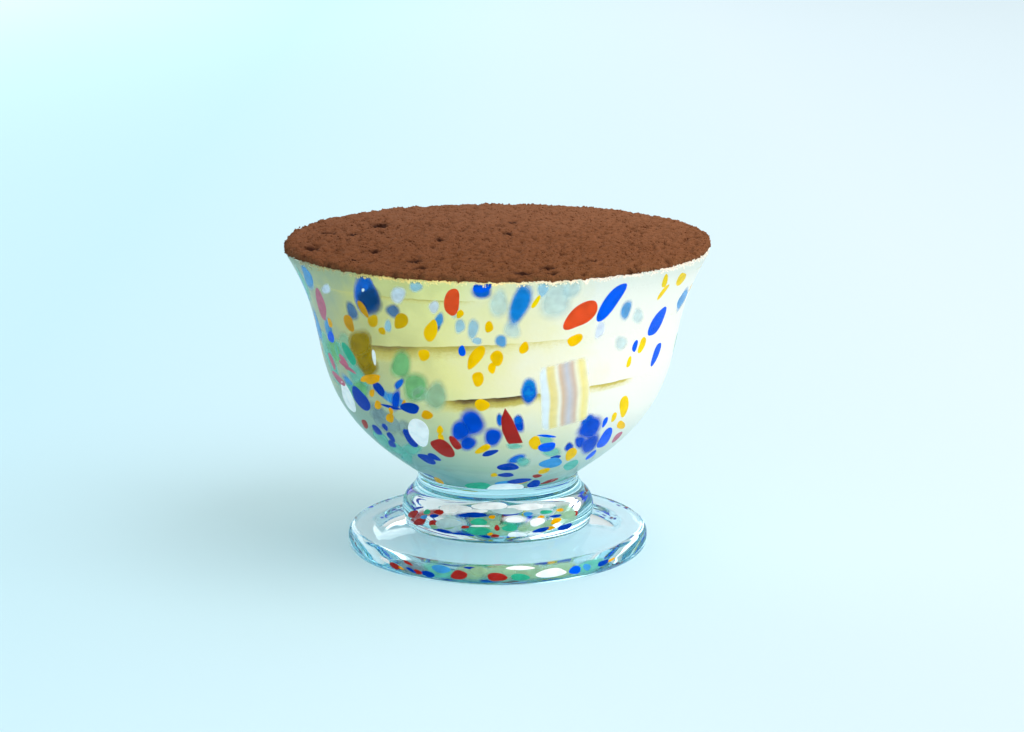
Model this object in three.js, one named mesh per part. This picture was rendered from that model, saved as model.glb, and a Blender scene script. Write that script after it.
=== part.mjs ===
// A layered coffee dessert, tiramisu, in a footed dessert cup of thick glass: three thin sheets of
// coffee-soaked sponge run through cream, and cocoa powder lies over the cream and the cup's lip.
// Millimetres, +Z up. The origin is the centre of the foot's flat underside.
import * as THREE from "three";

// Cup
const CUP_HEIGHT = 77.1;
const RIM_RADIUS = 52;
const WALL = 2.8;
const RIM_FLARE = 0.59; // how far the wall runs outwards per millimetre of height, at the lip
const BELLY_RADIUS = 41.2; // where the round bottom of the bowl turns into its flared wall
const BELLY_HEIGHT = 42.5;
const BELLY_FLARE = 0.4;
const BOWL_FLOOR = 20.6; // height of the lowest point inside the bowl
const NECK_RADIUS = 20; // narrowest place, between the bowl and the collar
const NECK_HEIGHT = 19.2;
const COLLAR_TOP_RADIUS = 22.3; // the collar is the thick rounded ring below the neck
const COLLAR_TOP_HEIGHT = 14.3;
const COLLAR_BULGE = 2.2;
const COLLAR_ROUNDING = 2;
const COLLAR_FOOT_RADIUS = 22.5;
const FOOT_RADIUS = 37.7;
const FOOT_EDGE = 5.6; // thickness of the foot's round edge
const FOOT_CROWN = 6.6; // height of the foot where it meets the collar
const CUP_SEGMENTS = 60;

// Food. A sheet of sponge rises towards +X, where it also thins out.
const GAP = 0.3; // clearance between neighbouring pieces
const SPONGES = [
  { name: "sponge_lower", top: 47.5, rise: 2.6, thickness: 3.1, taper: 0.58, wave: 0.35, phase: 0.4 },
  { name: "sponge_middle", top: 60.6, rise: 3.2, thickness: 3.1, taper: 0.75, wave: 0.45, phase: 2.1 },
  { name: "sponge_upper", top: 72.7, rise: 1.2, thickness: 1.3, taper: 0.35, wave: 0.25, phase: 4.3 },
];
const CREAMS = ["cream_base", "cream_lower", "cream_upper", "cream_top"];
const FOOD_SEGMENTS = 30;
const FOOD_RINGS = 3;
const BASE_PIECES = 8;

// Cocoa
const COCOA_RADIUS = 52.5;
const COCOA_THICKNESS = 0.8;
const COCOA_MOUND = 0.45; // how much higher it lies towards the middle and the back
const COCOA_RELIEF = 0.14;
const COCOA_EDGE = 0.5; // how far in from the rim its top starts to round off
const LUMP_ANGLE = 1.5 * Math.PI; // at -X the powder is caked over the lip,
const LUMP_HALF_ANGLE = 0.62; // this far to either side,
const LUMP_OVERHANG = 0.5; // this far out
const LUMP_DROP = 1.7; // and this far down

const GLASS_COLOUR = 0xdfeef2;
const CREAM_COLOUR = 0xf6efc8;
const SPONGE_COLOUR = 0xb08a3c;
const COCOA_COLOUR = 0x7d5340;

const point = (r, z) => new THREE.Vector2(r, z);
const step = (from, direction, length) => from.clone().addScaledVector(direction, length);
const upwards = (flare) => point(flare, 1).normalize();

// The bowl's outside is two cubic curves, which meet at the belly with one tangent, and its inside
// wall is the upper one moved in by the wall's thickness. The lip is a half round between them.
const HANDLE = { neck: 2, bellyDown: 15.9, bellyUp: 12.1, rim: 15.9, floor: 20, floorEdge: 16 };
const bellyUp = upwards(BELLY_FLARE);
const rimUp = upwards(RIM_FLARE);
const belly = point(BELLY_RADIUS, BELLY_HEIGHT);
const lipCentre = point(RIM_RADIUS - WALL / 2, CUP_HEIGHT - WALL / 2);
const rimOut = point(rimUp.y, -rimUp.x);
const bowlUnderside = new THREE.CubicBezierCurve(
  point(NECK_RADIUS, NECK_HEIGHT), point(NECK_RADIUS, NECK_HEIGHT + HANDLE.neck),
  step(belly, bellyUp, -HANDLE.bellyDown), belly,
);
const lipStart = step(lipCentre, rimOut, WALL / 2);
const bowlWall = new THREE.CubicBezierCurve(
  belly, step(belly, bellyUp, HANDLE.bellyUp), step(lipStart, rimUp, -HANDLE.rim), lipStart,
);

function movedIn(curve, share) {
  const along = curve.getTangent(share);
  return step(curve.getPoint(share), point(along.y, -along.x), -WALL);
}

function arc(centre, radius, from, to, pieces) {
  return Array.from({ length: pieces + 1 }, (_, i) => {
    const angle = from + ((to - from) * i) / pieces;
    return point(centre.x + radius * Math.cos(angle), centre.y + radius * Math.sin(angle));
  });
}

const innerBelly = movedIn(bowlWall, 0);
const bowlFloor = new THREE.CubicBezierCurve(
  point(0, BOWL_FLOOR), point(HANDLE.floor, BOWL_FLOOR),
  step(innerBelly, bellyUp, -HANDLE.floorEdge), innerBelly,
);
const WALL_PIECES = 9;
const insideWall = Array.from({ length: WALL_PIECES + 1 }, (_, i) => movedIn(bowlWall, i / WALL_PIECES));
const inside = [...bowlFloor.getPoints(10), ...insideWall.slice(1)]; // from the axis up to the lip

function cupProfile() {
  const edge = FOOT_EDGE / 2;
  const collar = new THREE.CubicBezierCurve(
    point(COLLAR_FOOT_RADIUS, FOOT_CROWN),
    point(COLLAR_FOOT_RADIUS + COLLAR_BULGE, FOOT_CROWN + COLLAR_ROUNDING),
    point(COLLAR_TOP_RADIUS + COLLAR_BULGE, COLLAR_TOP_HEIGHT - COLLAR_ROUNDING),
    point(COLLAR_TOP_RADIUS, COLLAR_TOP_HEIGHT),
  );
  const neck = new THREE.CubicBezierCurve(
    point(COLLAR_TOP_RADIUS, COLLAR_TOP_HEIGHT), point(COLLAR_TOP_RADIUS - 1.3, COLLAR_TOP_HEIGHT + 1.2),
    point(NECK_RADIUS, NECK_HEIGHT - 2.6), point(NECK_RADIUS, NECK_HEIGHT),
  );
  const tilt = Math.atan2(rimOut.y, rimOut.x);
  return [
    point(0, 0),
    ...arc(point(FOOT_RADIUS - edge, edge), edge, -Math.PI / 2, Math.PI / 2, 6),
    ...collar.getPoints(6),
    ...neck.getPoints(3).slice(1),
    ...bowlUnderside.getPoints(8).slice(1),
    ...bowlWall.getPoints(WALL_PIECES).slice(1),
    ...arc(lipCentre, WALL / 2, tilt, tilt + Math.PI, 4).slice(1, -1),
    ...inside.slice().reverse(),
  ];
}

// Radius of the bowl's inside at a height.
function insideRadius(z) {
  const above = inside.findIndex((p) => p.y >= z);
  if (above < 0) return inside[inside.length - 1].x;
  if (above === 0) return 0;
  const [low, high] = [inside[above - 1], inside[above]];
  return low.x + ((high.x - low.x) * (z - low.y)) / (high.y - low.y);
}

// Where a surface in the food meets the bowl's wall, less the clearance.
function reachOf(surface, angle) {
  let radius = BELLY_RADIUS;
  for (let pass = 0; pass < 8; pass++) radius = insideRadius(surface(radius, angle)) - GAP;
  return radius;
}

// A LatheGeometry whose profile changes with the angle: 0 points to -Y, a quarter turn to +X.
function warpedLathe(profileAt, segments) {
  const geometry = new THREE.LatheGeometry(profileAt(0), segments);
  const count = profileAt(0).length;
  const places = geometry.getAttribute("position");
  for (let i = 0; i <= segments; i++) {
    const angle = ((i % segments) / segments) * 2 * Math.PI;
    profileAt(angle).forEach((p, j) =>
      places.setXYZ(i * count + j, p.x * Math.sin(angle), p.y, p.x * Math.cos(angle)),
    );
  }
  geometry.computeVertexNormals();
  return geometry;
}

const spongeTop = ({ top, rise, wave, phase }) => (radius, angle) => {
  const reach = radius / BELLY_RADIUS;
  return top + rise * reach * Math.sin(angle) + wave * reach * Math.sin(3 * angle + phase);
};
const spongeUnderside = (sponge) => (radius, angle) =>
  spongeTop(sponge)(radius, angle)
    - sponge.thickness * (1 - (sponge.taper * radius * Math.sin(angle)) / BELLY_RADIUS);
const lifted = (surface, by) => (radius, angle) => surface(radius, angle) + by;

// A surface from the axis out to the wall.
function spokeOf(surface, angle) {
  const reach = reachOf(surface, angle);
  return Array.from({ length: FOOD_RINGS + 1 }, (_, i) => {
    const radius = (reach * i) / FOOD_RINGS;
    return point(radius, surface(radius, angle));
  });
}

// From the axis out along the lower surface, up the wall and back in along the upper surface.
function sliceProfile(lower, upper, angle) {
  const bottom = spokeOf(lower, angle);
  const top = spokeOf(upper, angle);
  const middle = (bottom[FOOD_RINGS].y + top[FOOD_RINGS].y) / 2;
  return [...bottom, point(insideRadius(middle) - GAP, middle), ...top.reverse()];
}

// The lowest cream fills the round bottom of the bowl.
function baseProfile(upper, angle) {
  const top = spokeOf(upper, angle);
  const depth = top[FOOD_RINGS].y - BOWL_FLOOR - GAP;
  const wall = Array.from({ length: BASE_PIECES - 1 }, (_, i) => {
    const z = BOWL_FLOOR + GAP + depth * (1 - Math.cos(((i + 1) / BASE_PIECES) * (Math.PI / 2)));
    return point(insideRadius(z - GAP) - GAP / 2, z);
  });
  return [point(0, BOWL_FLOOR + GAP), ...wall, ...top.reverse()];
}

// Powder over the food and the lip, thicker at the back, caked over the lip's outside at -X.
function cocoaProfile(angle) {
  const underside = CUP_HEIGHT + GAP;
  const fromLump = Math.abs(angle - LUMP_ANGLE) / LUMP_HALF_ANGLE;
  const lump = fromLump < 1 ? (1 + Math.cos(Math.PI * fromLump)) / 2 : 0;
  const radius = COCOA_RADIUS + LUMP_OVERHANG * lump;
  const drop = LUMP_DROP * lump;
  const top = (r) =>
    underside + COCOA_THICKNESS
      + COCOA_MOUND * (0.5 - 0.5 * (r / radius) * Math.cos(angle))
      + COCOA_RELIEF * Math.sin(5 * angle + r / 3) * Math.sin(r / 7);
  const edge = radius - COCOA_EDGE;
  return [
    point(0, underside),
    point(RIM_RADIUS * 0.6, underside),
    point(RIM_RADIUS + GAP, underside),
    point(RIM_RADIUS + GAP * 1.15, underside - drop * 0.85),
    point(radius - COCOA_EDGE / 5, underside - drop),
    point(radius, underside + (COCOA_THICKNESS - drop) * 0.4),
    point(edge, top(edge) - COCOA_EDGE / 4),
    ...[0.9, 0.72, 0.5, 0.25, 0].map((share) => point(edge * share, top(edge * share))),
  ];
}

function piece(name, geometry, colour, roughness) {
  const material = new THREE.MeshStandardMaterial({ color: colour, roughness, metalness: 0 });
  const mesh = new THREE.Mesh(geometry, material);
  mesh.name = name;
  return mesh;
}

function cup() {
  const mesh = piece("glass_cup", new THREE.LatheGeometry(cupProfile(), CUP_SEGMENTS), GLASS_COLOUR, 0.05);
  mesh.material.transparent = true;
  mesh.material.opacity = 0.35;
  return mesh;
}

function sponge(layer) {
  const profile = (angle) => sliceProfile(spongeUnderside(layer), spongeTop(layer), angle);
  return piece(layer.name, warpedLathe(profile, FOOD_SEGMENTS), SPONGE_COLOUR, 0.8);
}

function cream(name, index) {
  const over = SPONGES[index];
  const upper = over ? lifted(spongeUnderside(over), -GAP) : () => CUP_HEIGHT;
  const under = SPONGES[index - 1];
  const profile = under
    ? (angle) => sliceProfile(lifted(spongeTop(under), GAP), upper, angle)
    : (angle) => baseProfile(upper, angle);
  return piece(name, warpedLathe(profile, FOOD_SEGMENTS), CREAM_COLOUR, 0.45);
}

function cocoa() {
  return piece("cocoa", warpedLathe(cocoaProfile, CUP_SEGMENTS), COCOA_COLOUR, 0.95);
}

const group = new THREE.Group();
group.rotation.x = Math.PI / 2; // a lathe turns about Y, and the object stands along Z
group.add(cup(), ...CREAMS.map(cream), ...SPONGES.map(sponge), cocoa());

export default group;
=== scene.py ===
"""A tiramisu in a footed dessert cup of confetti glass.

The cup is one body of clear glass with thin flecks of coloured glass in its wall. Cream and three
sheets of coffee-soaked sponge fill it to the lip, and cocoa powder covers the cream and the lip.

Lengths are millimetres until solid() turns them into metres. An azimuth of 0 faces the camera, along
-Y, and a quarter turn is +X.
"""
import math

import bmesh
import bpy
import numpy as np
from mathutils import Matrix, Vector


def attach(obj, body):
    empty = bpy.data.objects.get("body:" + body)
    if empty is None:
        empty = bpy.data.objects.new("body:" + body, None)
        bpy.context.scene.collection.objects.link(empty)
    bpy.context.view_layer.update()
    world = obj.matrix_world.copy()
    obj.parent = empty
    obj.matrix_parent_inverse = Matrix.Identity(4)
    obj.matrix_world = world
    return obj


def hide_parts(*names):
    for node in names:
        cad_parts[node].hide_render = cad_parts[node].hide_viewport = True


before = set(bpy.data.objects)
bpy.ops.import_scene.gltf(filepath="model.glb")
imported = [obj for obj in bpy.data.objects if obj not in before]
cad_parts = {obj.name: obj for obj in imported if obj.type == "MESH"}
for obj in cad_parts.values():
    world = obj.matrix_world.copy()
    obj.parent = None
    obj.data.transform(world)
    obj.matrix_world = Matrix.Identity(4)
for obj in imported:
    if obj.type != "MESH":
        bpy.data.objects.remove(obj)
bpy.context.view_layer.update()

MM = 0.001
TURN = 2 * math.pi

# The camera, as the photograph has it: a pixel is (across, down) in its frame.
PHOTO_WIDTH = 1024
PHOTO_HEIGHT = 732
SENSOR = 36.0
LENS = 93.0
CAMERA_PLACE = np.array([3.54, -643.0, 190.0])
CAMERA_PITCH = math.radians(12.64)  # how far it looks down

# The cup, in the CAD model's own sizes.
CUP_HEIGHT = 77.1
RIM_RADIUS = 52.0
WALL = 2.8
RIM_FLARE = 0.59
BELLY_RADIUS = 41.2
BELLY_HEIGHT = 42.5
BELLY_FLARE = 0.4
BOWL_FLOOR = 20.6
NECK_RADIUS = 20.0
NECK_HEIGHT = 19.2
COLLAR_TOP_RADIUS = 22.3
COLLAR_TOP_HEIGHT = 14.3
COLLAR_BULGE = 2.2
COLLAR_ROUNDING = 2.0
COLLAR_FOOT_RADIUS = 22.5
FOOT_RADIUS = 37.7
FOOT_EDGE = 5.6
FOOT_CROWN = 6.6
FOOT_EDGE_SQUARENESS = 2.6  # exponent of the edge's superellipse: 2 is a half round
FOOT_FILLET = 0.5
FOOT_TOP_HANDLES = [(-4, 0.1), (4, -0.2)]  # from its edge inwards, and from the collar outwards
UNDERSIDE_RISE = 10.3
UNDERSIDE_RADIUS = 31.0
UNDERSIDE_POWER = 0.85
HANDLE_NECK = 2.0
HANDLE_BELLY_DOWN = 15.9
HANDLE_BELLY_UP = 12.1
HANDLE_RIM = 15.9
HANDLE_FLOOR = 20.0
HANDLE_FLOOR_EDGE = 16.0
HANDLE_WAIST_LOW = 4  # in steps of the collar's outline
HANDLE_WAIST_HIGH = 2.6
OUT_OF_ROUND = (0.16, 0.07, 0.04)  # of the foot's edge, in two, three and five waves
CUP_SEGMENTS = 288
GLASS_IOR = 1.5

# The food.
INTO_WALL = 0.08  # how far the food reaches into the glass, so that no air shows between them
FOOD_SEGMENTS = 720
SHEET_WAVES = 3
SHEET_TORN = 0.12  # how ragged a sheet's faces are near the wall
SHEET_TORN_FROM = 0.8 * BELLY_RADIUS
SHEET_BLOTCHES = 0.25  # how unevenly it is soaked
SHEET_ROWS = 12
CREAM_ROWS = 24
BASE_ROWS = 40
INWARD_SHARES = (0.0, 0.4, 0.75, 0.93)  # rings of points on a sheet's faces, as shares of its radius

# The sheets of sponge: the height of the upper face on the axis, how much higher it is to the right,
# the thickness, the share by which it is thinner to the right, and how the sheet waves.
SPONGES = {
    "sponge_lower": dict(top=47.5, rise=2.6, thickness=3.1, taper=0.58, wave=0.35, phase=0.4, seed=11),
    "sponge_middle": dict(top=60.6, rise=3.2, thickness=3.1, taper=0.75, wave=0.45, phase=2.1, seed=12),
    "sponge_upper": dict(top=72.7, rise=1.2, thickness=1.3, taper=0.35, wave=0.25, phase=4.3, seed=13),
}
# From below, with a sheet of sponge between each two.
CREAMS = ["cream_base", "cream_lower", "cream_upper", "cream_top"]


def srgb(red, green, blue):
    """A screen colour, 0 to 255, as the linear colour that a shader takes."""
    shares = np.array([red, green, blue]) / 255
    low = shares / 12.92
    high = ((shares + 0.055) / 1.055) ** 2.4
    return (*np.where(shares <= 0.04045, low, high), 1.0)


# ---------------------------------------------------------------- shapes


def bezier(a, b, c, d, pieces):
    t = np.linspace(0, 1, pieces + 1)[:, None]
    ends = (1 - t) ** 3 * np.asarray(a) + t**3 * np.asarray(d)
    return ends + 3 * (1 - t) ** 2 * t * np.asarray(b) + 3 * (1 - t) * t**2 * np.asarray(c)


def unit(x, y):
    return np.array([x, y]) / math.hypot(x, y)


def round_axis(radius, azimuth, height):
    """Points in space, by their place round the cup's axis."""
    return np.stack([radius * np.sin(azimuth), -radius * np.cos(azimuth), height], axis=-1)


def lengths_along(curve):
    """How far along a curve each of its points is."""
    return np.concatenate([[0], np.cumsum(np.linalg.norm(np.diff(curve, axis=0), axis=1))])


belly_up = unit(BELLY_FLARE, 1)
rim_up = unit(RIM_FLARE, 1)
rim_out = np.array([rim_up[1], -rim_up[0]])
belly = np.array([BELLY_RADIUS, BELLY_HEIGHT])
lip_centre = np.array([RIM_RADIUS - WALL / 2, CUP_HEIGHT - WALL / 2])
lip_start = lip_centre + rim_out * WALL / 2


def outward(curve):
    """Unit normals of an outline that runs upwards on the outside."""
    along = np.gradient(curve, axis=0)
    along /= np.linalg.norm(along, axis=1)[:, None]
    return np.stack([along[:, 1], -along[:, 0]], axis=1)


def superellipse(centre, radii, start, end, squareness, pieces):
    angle = np.linspace(start, end, pieces + 1)
    c, s = np.cos(angle), np.sin(angle)
    power = 2 / squareness
    x = centre[0] + radii[0] * np.sign(c) * np.abs(c) ** power
    y = centre[1] + radii[1] * np.sign(s) * np.abs(s) ** power
    return np.stack([x, y], axis=1)


underside_of_bowl = bezier(
    (NECK_RADIUS, NECK_HEIGHT), (NECK_RADIUS, NECK_HEIGHT + HANDLE_NECK),
    belly - HANDLE_BELLY_DOWN * belly_up, belly, 60,
)
wall_of_bowl = bezier(
    belly, belly + HANDLE_BELLY_UP * belly_up, lip_start - HANDLE_RIM * rim_up, lip_start, 60,
)
lip_tilt = math.atan2(rim_out[1], rim_out[0])
lip_curve = superellipse(lip_centre, (WALL / 2, WALL / 2), lip_tilt, math.radians(70), 2, 20)
inside_wall = wall_of_bowl - WALL * outward(wall_of_bowl)
inside_floor = bezier(
    (0, BOWL_FLOOR), (HANDLE_FLOOR, BOWL_FLOOR),
    inside_wall[0] - HANDLE_FLOOR_EDGE * belly_up, inside_wall[0], 60,
)
inside = np.concatenate([inside_floor, inside_wall[1:]])
outside = np.concatenate([underside_of_bowl, wall_of_bowl[1:]])

edge_rounding = superellipse(
    (FOOT_RADIUS - FOOT_EDGE / 2, FOOT_EDGE / 2), (FOOT_EDGE / 2, FOOT_EDGE / 2),
    -math.pi / 2, math.pi / 2, FOOT_EDGE_SQUARENESS, 28,
)
collar_bulge = bezier(
    (COLLAR_FOOT_RADIUS, FOOT_CROWN), (COLLAR_FOOT_RADIUS + COLLAR_BULGE, FOOT_CROWN + COLLAR_ROUNDING),
    (COLLAR_TOP_RADIUS + COLLAR_BULGE, COLLAR_TOP_HEIGHT - COLLAR_ROUNDING),
    (COLLAR_TOP_RADIUS, COLLAR_TOP_HEIGHT), 40,
)
collar_bulge = collar_bulge[collar_bulge[:, 1] > FOOT_CROWN + FOOT_FILLET]
waist = bezier(
    collar_bulge[-1], collar_bulge[-1] + (collar_bulge[-1] - collar_bulge[-2]) * HANDLE_WAIST_LOW,
    (NECK_RADIUS, NECK_HEIGHT - HANDLE_WAIST_HIGH), (NECK_RADIUS, NECK_HEIGHT), 14,
)


def inside_radius(z):
    return np.interp(z, inside[:, 1], inside[:, 0])


def cup_profile():
    """The glass's section, from under the foot round its outside and over the lip to the bowl's floor."""
    reach = np.linspace(0, UNDERSIDE_RADIUS, 18)
    rise = UNDERSIDE_RISE * (1 - (reach / UNDERSIDE_RADIUS) ** UNDERSIDE_POWER)
    fillet_start = np.array([COLLAR_FOOT_RADIUS + 2 * FOOT_FILLET, FOOT_CROWN])
    fillet = bezier(
        fillet_start, fillet_start - (FOOT_FILLET, 0),
        collar_bulge[0] - (collar_bulge[1] - collar_bulge[0]) * 2, collar_bulge[0], 8,
    )
    from_edge, from_collar = FOOT_TOP_HANDLES
    top = bezier(
        edge_rounding[-1], edge_rounding[-1] + from_edge, fillet_start + from_collar, fillet_start, 16,
    )
    lip = superellipse(lip_centre, (WALL / 2, WALL / 2), lip_tilt, lip_tilt + math.pi, 2, 16)
    stretches = [edge_rounding, top, fillet, collar_bulge, waist, outside, lip[:-1]]
    under = np.stack([reach, rise], axis=1)
    return np.concatenate([under, *[stretch[1:] for stretch in stretches], inside[::-1]])


NOISE_SIZE = 128  # noise comes round again after this many bumps


def noise(x, y, seed):
    """Smooth noise from -1 to 1 over a plane, with about one bump to each unit square."""
    table = np.random.default_rng(seed).uniform(-1, 1, (NOISE_SIZE, NOISE_SIZE))
    column = np.floor(x).astype(int)
    row = np.floor(y).astype(int)
    u = x - column
    v = y - row
    u = u * u * (3 - 2 * u)
    v = v * v * (3 - 2 * v)

    def at(right, up):
        return table[(column + right) % NOISE_SIZE, (row + up) % NOISE_SIZE]

    low = at(0, 0) * (1 - u) + at(1, 0) * u
    high = at(0, 1) * (1 - u) + at(1, 1) * u
    return low * (1 - v) + high * v


def ragged(azimuth, waves):
    """Noise round the cup. Each wave has a height, its bumps to a radian, and a seed."""
    return sum(height * noise(azimuth * bumps, 0 * azimuth, seed) for height, bumps, seed in waves)


CORNER_ANGLE = math.radians(60)  # edges that turn by more than this are drawn as corners


def solid(name, points, faces, material, smooth=True, layers=None):
    """One piece from points in millimetres, riding on the cup's body."""
    mesh = bpy.data.meshes.new(name)
    mesh.from_pydata((np.asarray(points) * MM).tolist(), [], faces)
    mesh.polygons.foreach_set("use_smooth", [smooth] * len(mesh.polygons))
    if smooth:
        mesh.set_sharp_from_angle(angle=CORNER_ANGLE)
    for layer, values in (layers or {}).items():
        coloured = values.ndim == 2
        attribute = mesh.attributes.new(layer, "FLOAT_COLOR" if coloured else "FLOAT", "POINT")
        attribute.data.foreach_set("color" if coloured else "value", values.ravel())
    mesh.materials.append(material)
    piece = bpy.data.objects.new(name, mesh)
    bpy.context.scene.collection.objects.link(piece)
    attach(piece, "root")
    return piece


def lathe(profiles):
    """Points and faces of a round body from one profile for each azimuth.

    profiles is (azimuths, points, 2). Each runs from the lower axis outwards and up to the upper axis.
    """
    segments, count = profiles.shape[:2]
    rings = count - 2
    angle = np.arange(segments)[:, None] * TURN / segments
    body = round_axis(profiles[:, 1:-1, 0], angle, profiles[:, 1:-1, 1])
    poles = [(0, 0, profiles[0, 0, 1]), (0, 0, profiles[0, -1, 1])]
    points = np.concatenate([body.reshape(-1, 3), poles])
    bottom = segments * rings
    faces = []
    for i in range(segments):
        here = i * rings
        there = (i + 1) % segments * rings
        faces.append((bottom, there, here))
        faces.append((bottom + 1, here + rings - 1, there + rings - 1))
        faces.extend((here + j, there + j, there + j + 1, here + j + 1) for j in range(rings - 1))
    return points, faces


def ring(profiles):
    """Points and faces of a closed ring from one closed profile for each azimuth."""
    segments, count = profiles.shape[:2]
    angle = np.arange(segments)[:, None] * TURN / segments
    points = round_axis(profiles[:, :, 0], angle, profiles[:, :, 1])
    faces = []
    for i in range(segments):
        here = i * count
        there = (i + 1) % segments * count
        for j in range(count):
            k = (j + 1) % count
            faces.append((here + j, there + j, there + k, here + k))
    return points.reshape(-1, 3), faces


# ---------------------------------------------------------------- materials


class Graph:
    """A node tree that is built one node to a line."""

    def __init__(self, tree):
        self.tree = tree
        tree.nodes.clear()

    def node(self, kind, inputs=None, **settings):
        """A new node. An input is a value or another node's output."""
        node = self.tree.nodes.new("ShaderNode" + kind)
        for name, value in settings.items():
            setattr(node, name, value)
        for socket, value in (inputs or {}).items():
            if isinstance(value, bpy.types.NodeSocket):
                self.tree.links.new(value, node.inputs[socket])
            else:
                node.inputs[socket].default_value = value
        return node

    def add(self, kind, inputs=None, **settings):
        """The first output of a new node."""
        return self.node(kind, inputs, **settings).outputs[0]

    def place(self):
        """A node whose outputs are the coordinates of a point."""
        return self.node("SeparateXYZ", {0: self.node("TexCoord").outputs["Object"]})

    def layer(self, name, socket="Fac"):
        """What the mesh itself holds under a name."""
        return self.node("Attribute", attribute_name=name).outputs[socket]

    def plus(self, value, factor, more):
        """The value times the factor, plus more."""
        return self.add("Math", {0: value, 1: factor, 2: more}, operation="MULTIPLY_ADD")

    def share(self, value, low, high):
        """How far a value is from low to high, between 0 and 1."""
        return self.add("MapRange", {0: value, 1: low, 2: high})

    def grain(self, size, detail, stretch=(1, 1, 1)):
        """Noise with bumps of about this size in millimetres."""
        place = self.node("TexCoord").outputs["Object"]
        scaled = self.add("Mapping", {"Vector": place, "Scale": stretch})
        settings = {"Vector": scaled, "Scale": 1 / (size * MM), "Detail": detail}
        return self.node("TexNoise", settings).outputs["Fac"]

    def uneven(self, grain):
        """The same noise, around 0."""
        return self.add("Math", {0: grain, 1: 0.5}, operation="SUBTRACT")

    def ramp(self, factor, stops):
        node = self.node("ValToRGB", {0: factor})
        elements = node.color_ramp.elements
        while len(elements) < len(stops):
            elements.new(0.5)
        for element, (place, colour) in zip(elements, stops):
            element.position = place
            element.color = (*colour, 1)
        return node.outputs[0]

    def mix(self, factor, first, second, blend="MIX"):
        inputs = {0: factor, 6: first, 7: second}
        return self.node("Mix", inputs, data_type="RGBA", blend_type=blend).outputs[2]

    def bump(self, height, distance):
        """A bump whose height of 0 to 1 stands for this many millimetres."""
        return self.add("Bump", {"Height": height, "Distance": distance * MM, "Strength": 1.0})

    def lit_through(self, surface, colour):
        """A surface that light from lamps and off dull surfaces goes straight through."""
        path = self.node("LightPath")
        through = self.add("BsdfTransparent", {"Color": colour})
        dull = self.add("MixShader", {0: path.outputs["Is Diffuse Ray"], 1: surface, 2: through})
        return self.add("MixShader", {0: path.outputs["Is Shadow Ray"], 1: dull, 2: through})

    def end(self, surface, **more):
        self.node("OutputMaterial", {"Surface": surface, **more})

    def end_dull(self, colour, roughness, shine, normal):
        """The end of a material that light doesn't go through."""
        self.end(self.add("BsdfPrincipled", {
            "Base Color": colour, "Roughness": roughness, "Specular IOR Level": shine, "Normal": normal,
        }))


def new_material(name):
    material = bpy.data.materials.new(name)
    material.use_nodes = True
    return material, Graph(material.node_tree)


GLASS_COLOUR = (0.99, 0.998, 1.0, 1.0)
GLASS_ROUGHNESS = 0.012
OUTSIDE_SHINE = 0.4  # share of its mirroring that the glass's outside keeps


def clear_glass():
    """Clear glass that lets light from lamps and off dull surfaces straight through.

    Its outside mirrors less than its inside, so that the room doesn't veil the flecks.
    """
    material, g = new_material("clear_glass")
    ripple = g.bump(g.grain(size=14, detail=1.0), distance=0.1)
    mirroring = g.add("BsdfPrincipled", {
        "Base Color": GLASS_COLOUR,
        "Specular IOR Level": 0.4,
        "Specular Tint": (0.0, 0.25, 0.4, 1.0),
        "Roughness": GLASS_ROUGHNESS,
        "IOR": GLASS_IOR,
        "Transmission Weight": 1.0,
        "Normal": ripple,
    })
    unmirrored = g.add("BsdfRefraction", {
        "Color": GLASS_COLOUR, "Roughness": GLASS_ROUGHNESS, "IOR": GLASS_IOR, "Normal": ripple,
    })
    inner_side = g.node("NewGeometry").outputs["Backfacing"]
    from_outside = g.plus(inner_side, OUTSIDE_SHINE - 1, 1 - OUTSIDE_SHINE)
    glass = g.add("MixShader", {0: from_outside, 1: mirroring, 2: unmirrored})
    body = g.add("VolumeAbsorption", {"Color": (0.15, 0.75, 0.88, 1.0), "Density": 14.0})
    g.end(g.lit_through(glass, (0.99, 0.995, 1.0, 1.0)), Volume=body)
    return material


def cream_tone_and_shade(g):
    """Yellow on the left and nearly white on the right, partly the cream's own tone and partly painted
    light from the right; the dark olive at the far left and the grey-green in the bottom of the bowl,
    deepest to the lower left, are painted shade.
    """
    place = g.place()
    x, z = place.outputs["X"], place.outputs["Z"]
    clouds = g.uneven(g.grain(size=9, detail=3.0))
    mottled = g.plus(clouds, 0.3, g.share(x, low=-0.05, high=0.05))
    # Painted light and shade across the cream: dark olive at the far left, nearly white at the right.
    above = g.ramp(mottled, [
        (0.05, (0.42, 0.47, 0.33)), (0.20, (0.68, 0.62, 0.24)), (0.36, (0.98, 0.88, 0.36)),
        (0.54, (1.0, 0.90, 0.56)), (0.75, (1.0, 0.94, 0.82)),
    ])
    # Painted shade: the grey-green of the bottom reaches higher on the left side, where less light falls.
    left = g.add("Math", {0: x, 1: 0.0}, operation="MINIMUM")
    leaning = g.plus(left, 0.3, g.plus(x, 0.15, z))
    return g.mix(g.share(leaning, low=0.019, high=0.046), (0.28, 0.46, 0.42, 1), above)


def whipped_cream():
    material, g = new_material("whipped_cream")
    normal = g.bump(g.grain(size=1.2, detail=3.0), distance=0.06)
    g.end_dull(cream_tone_and_shade(g), roughness=0.55, shine=0.15, normal=normal)
    return material


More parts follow.
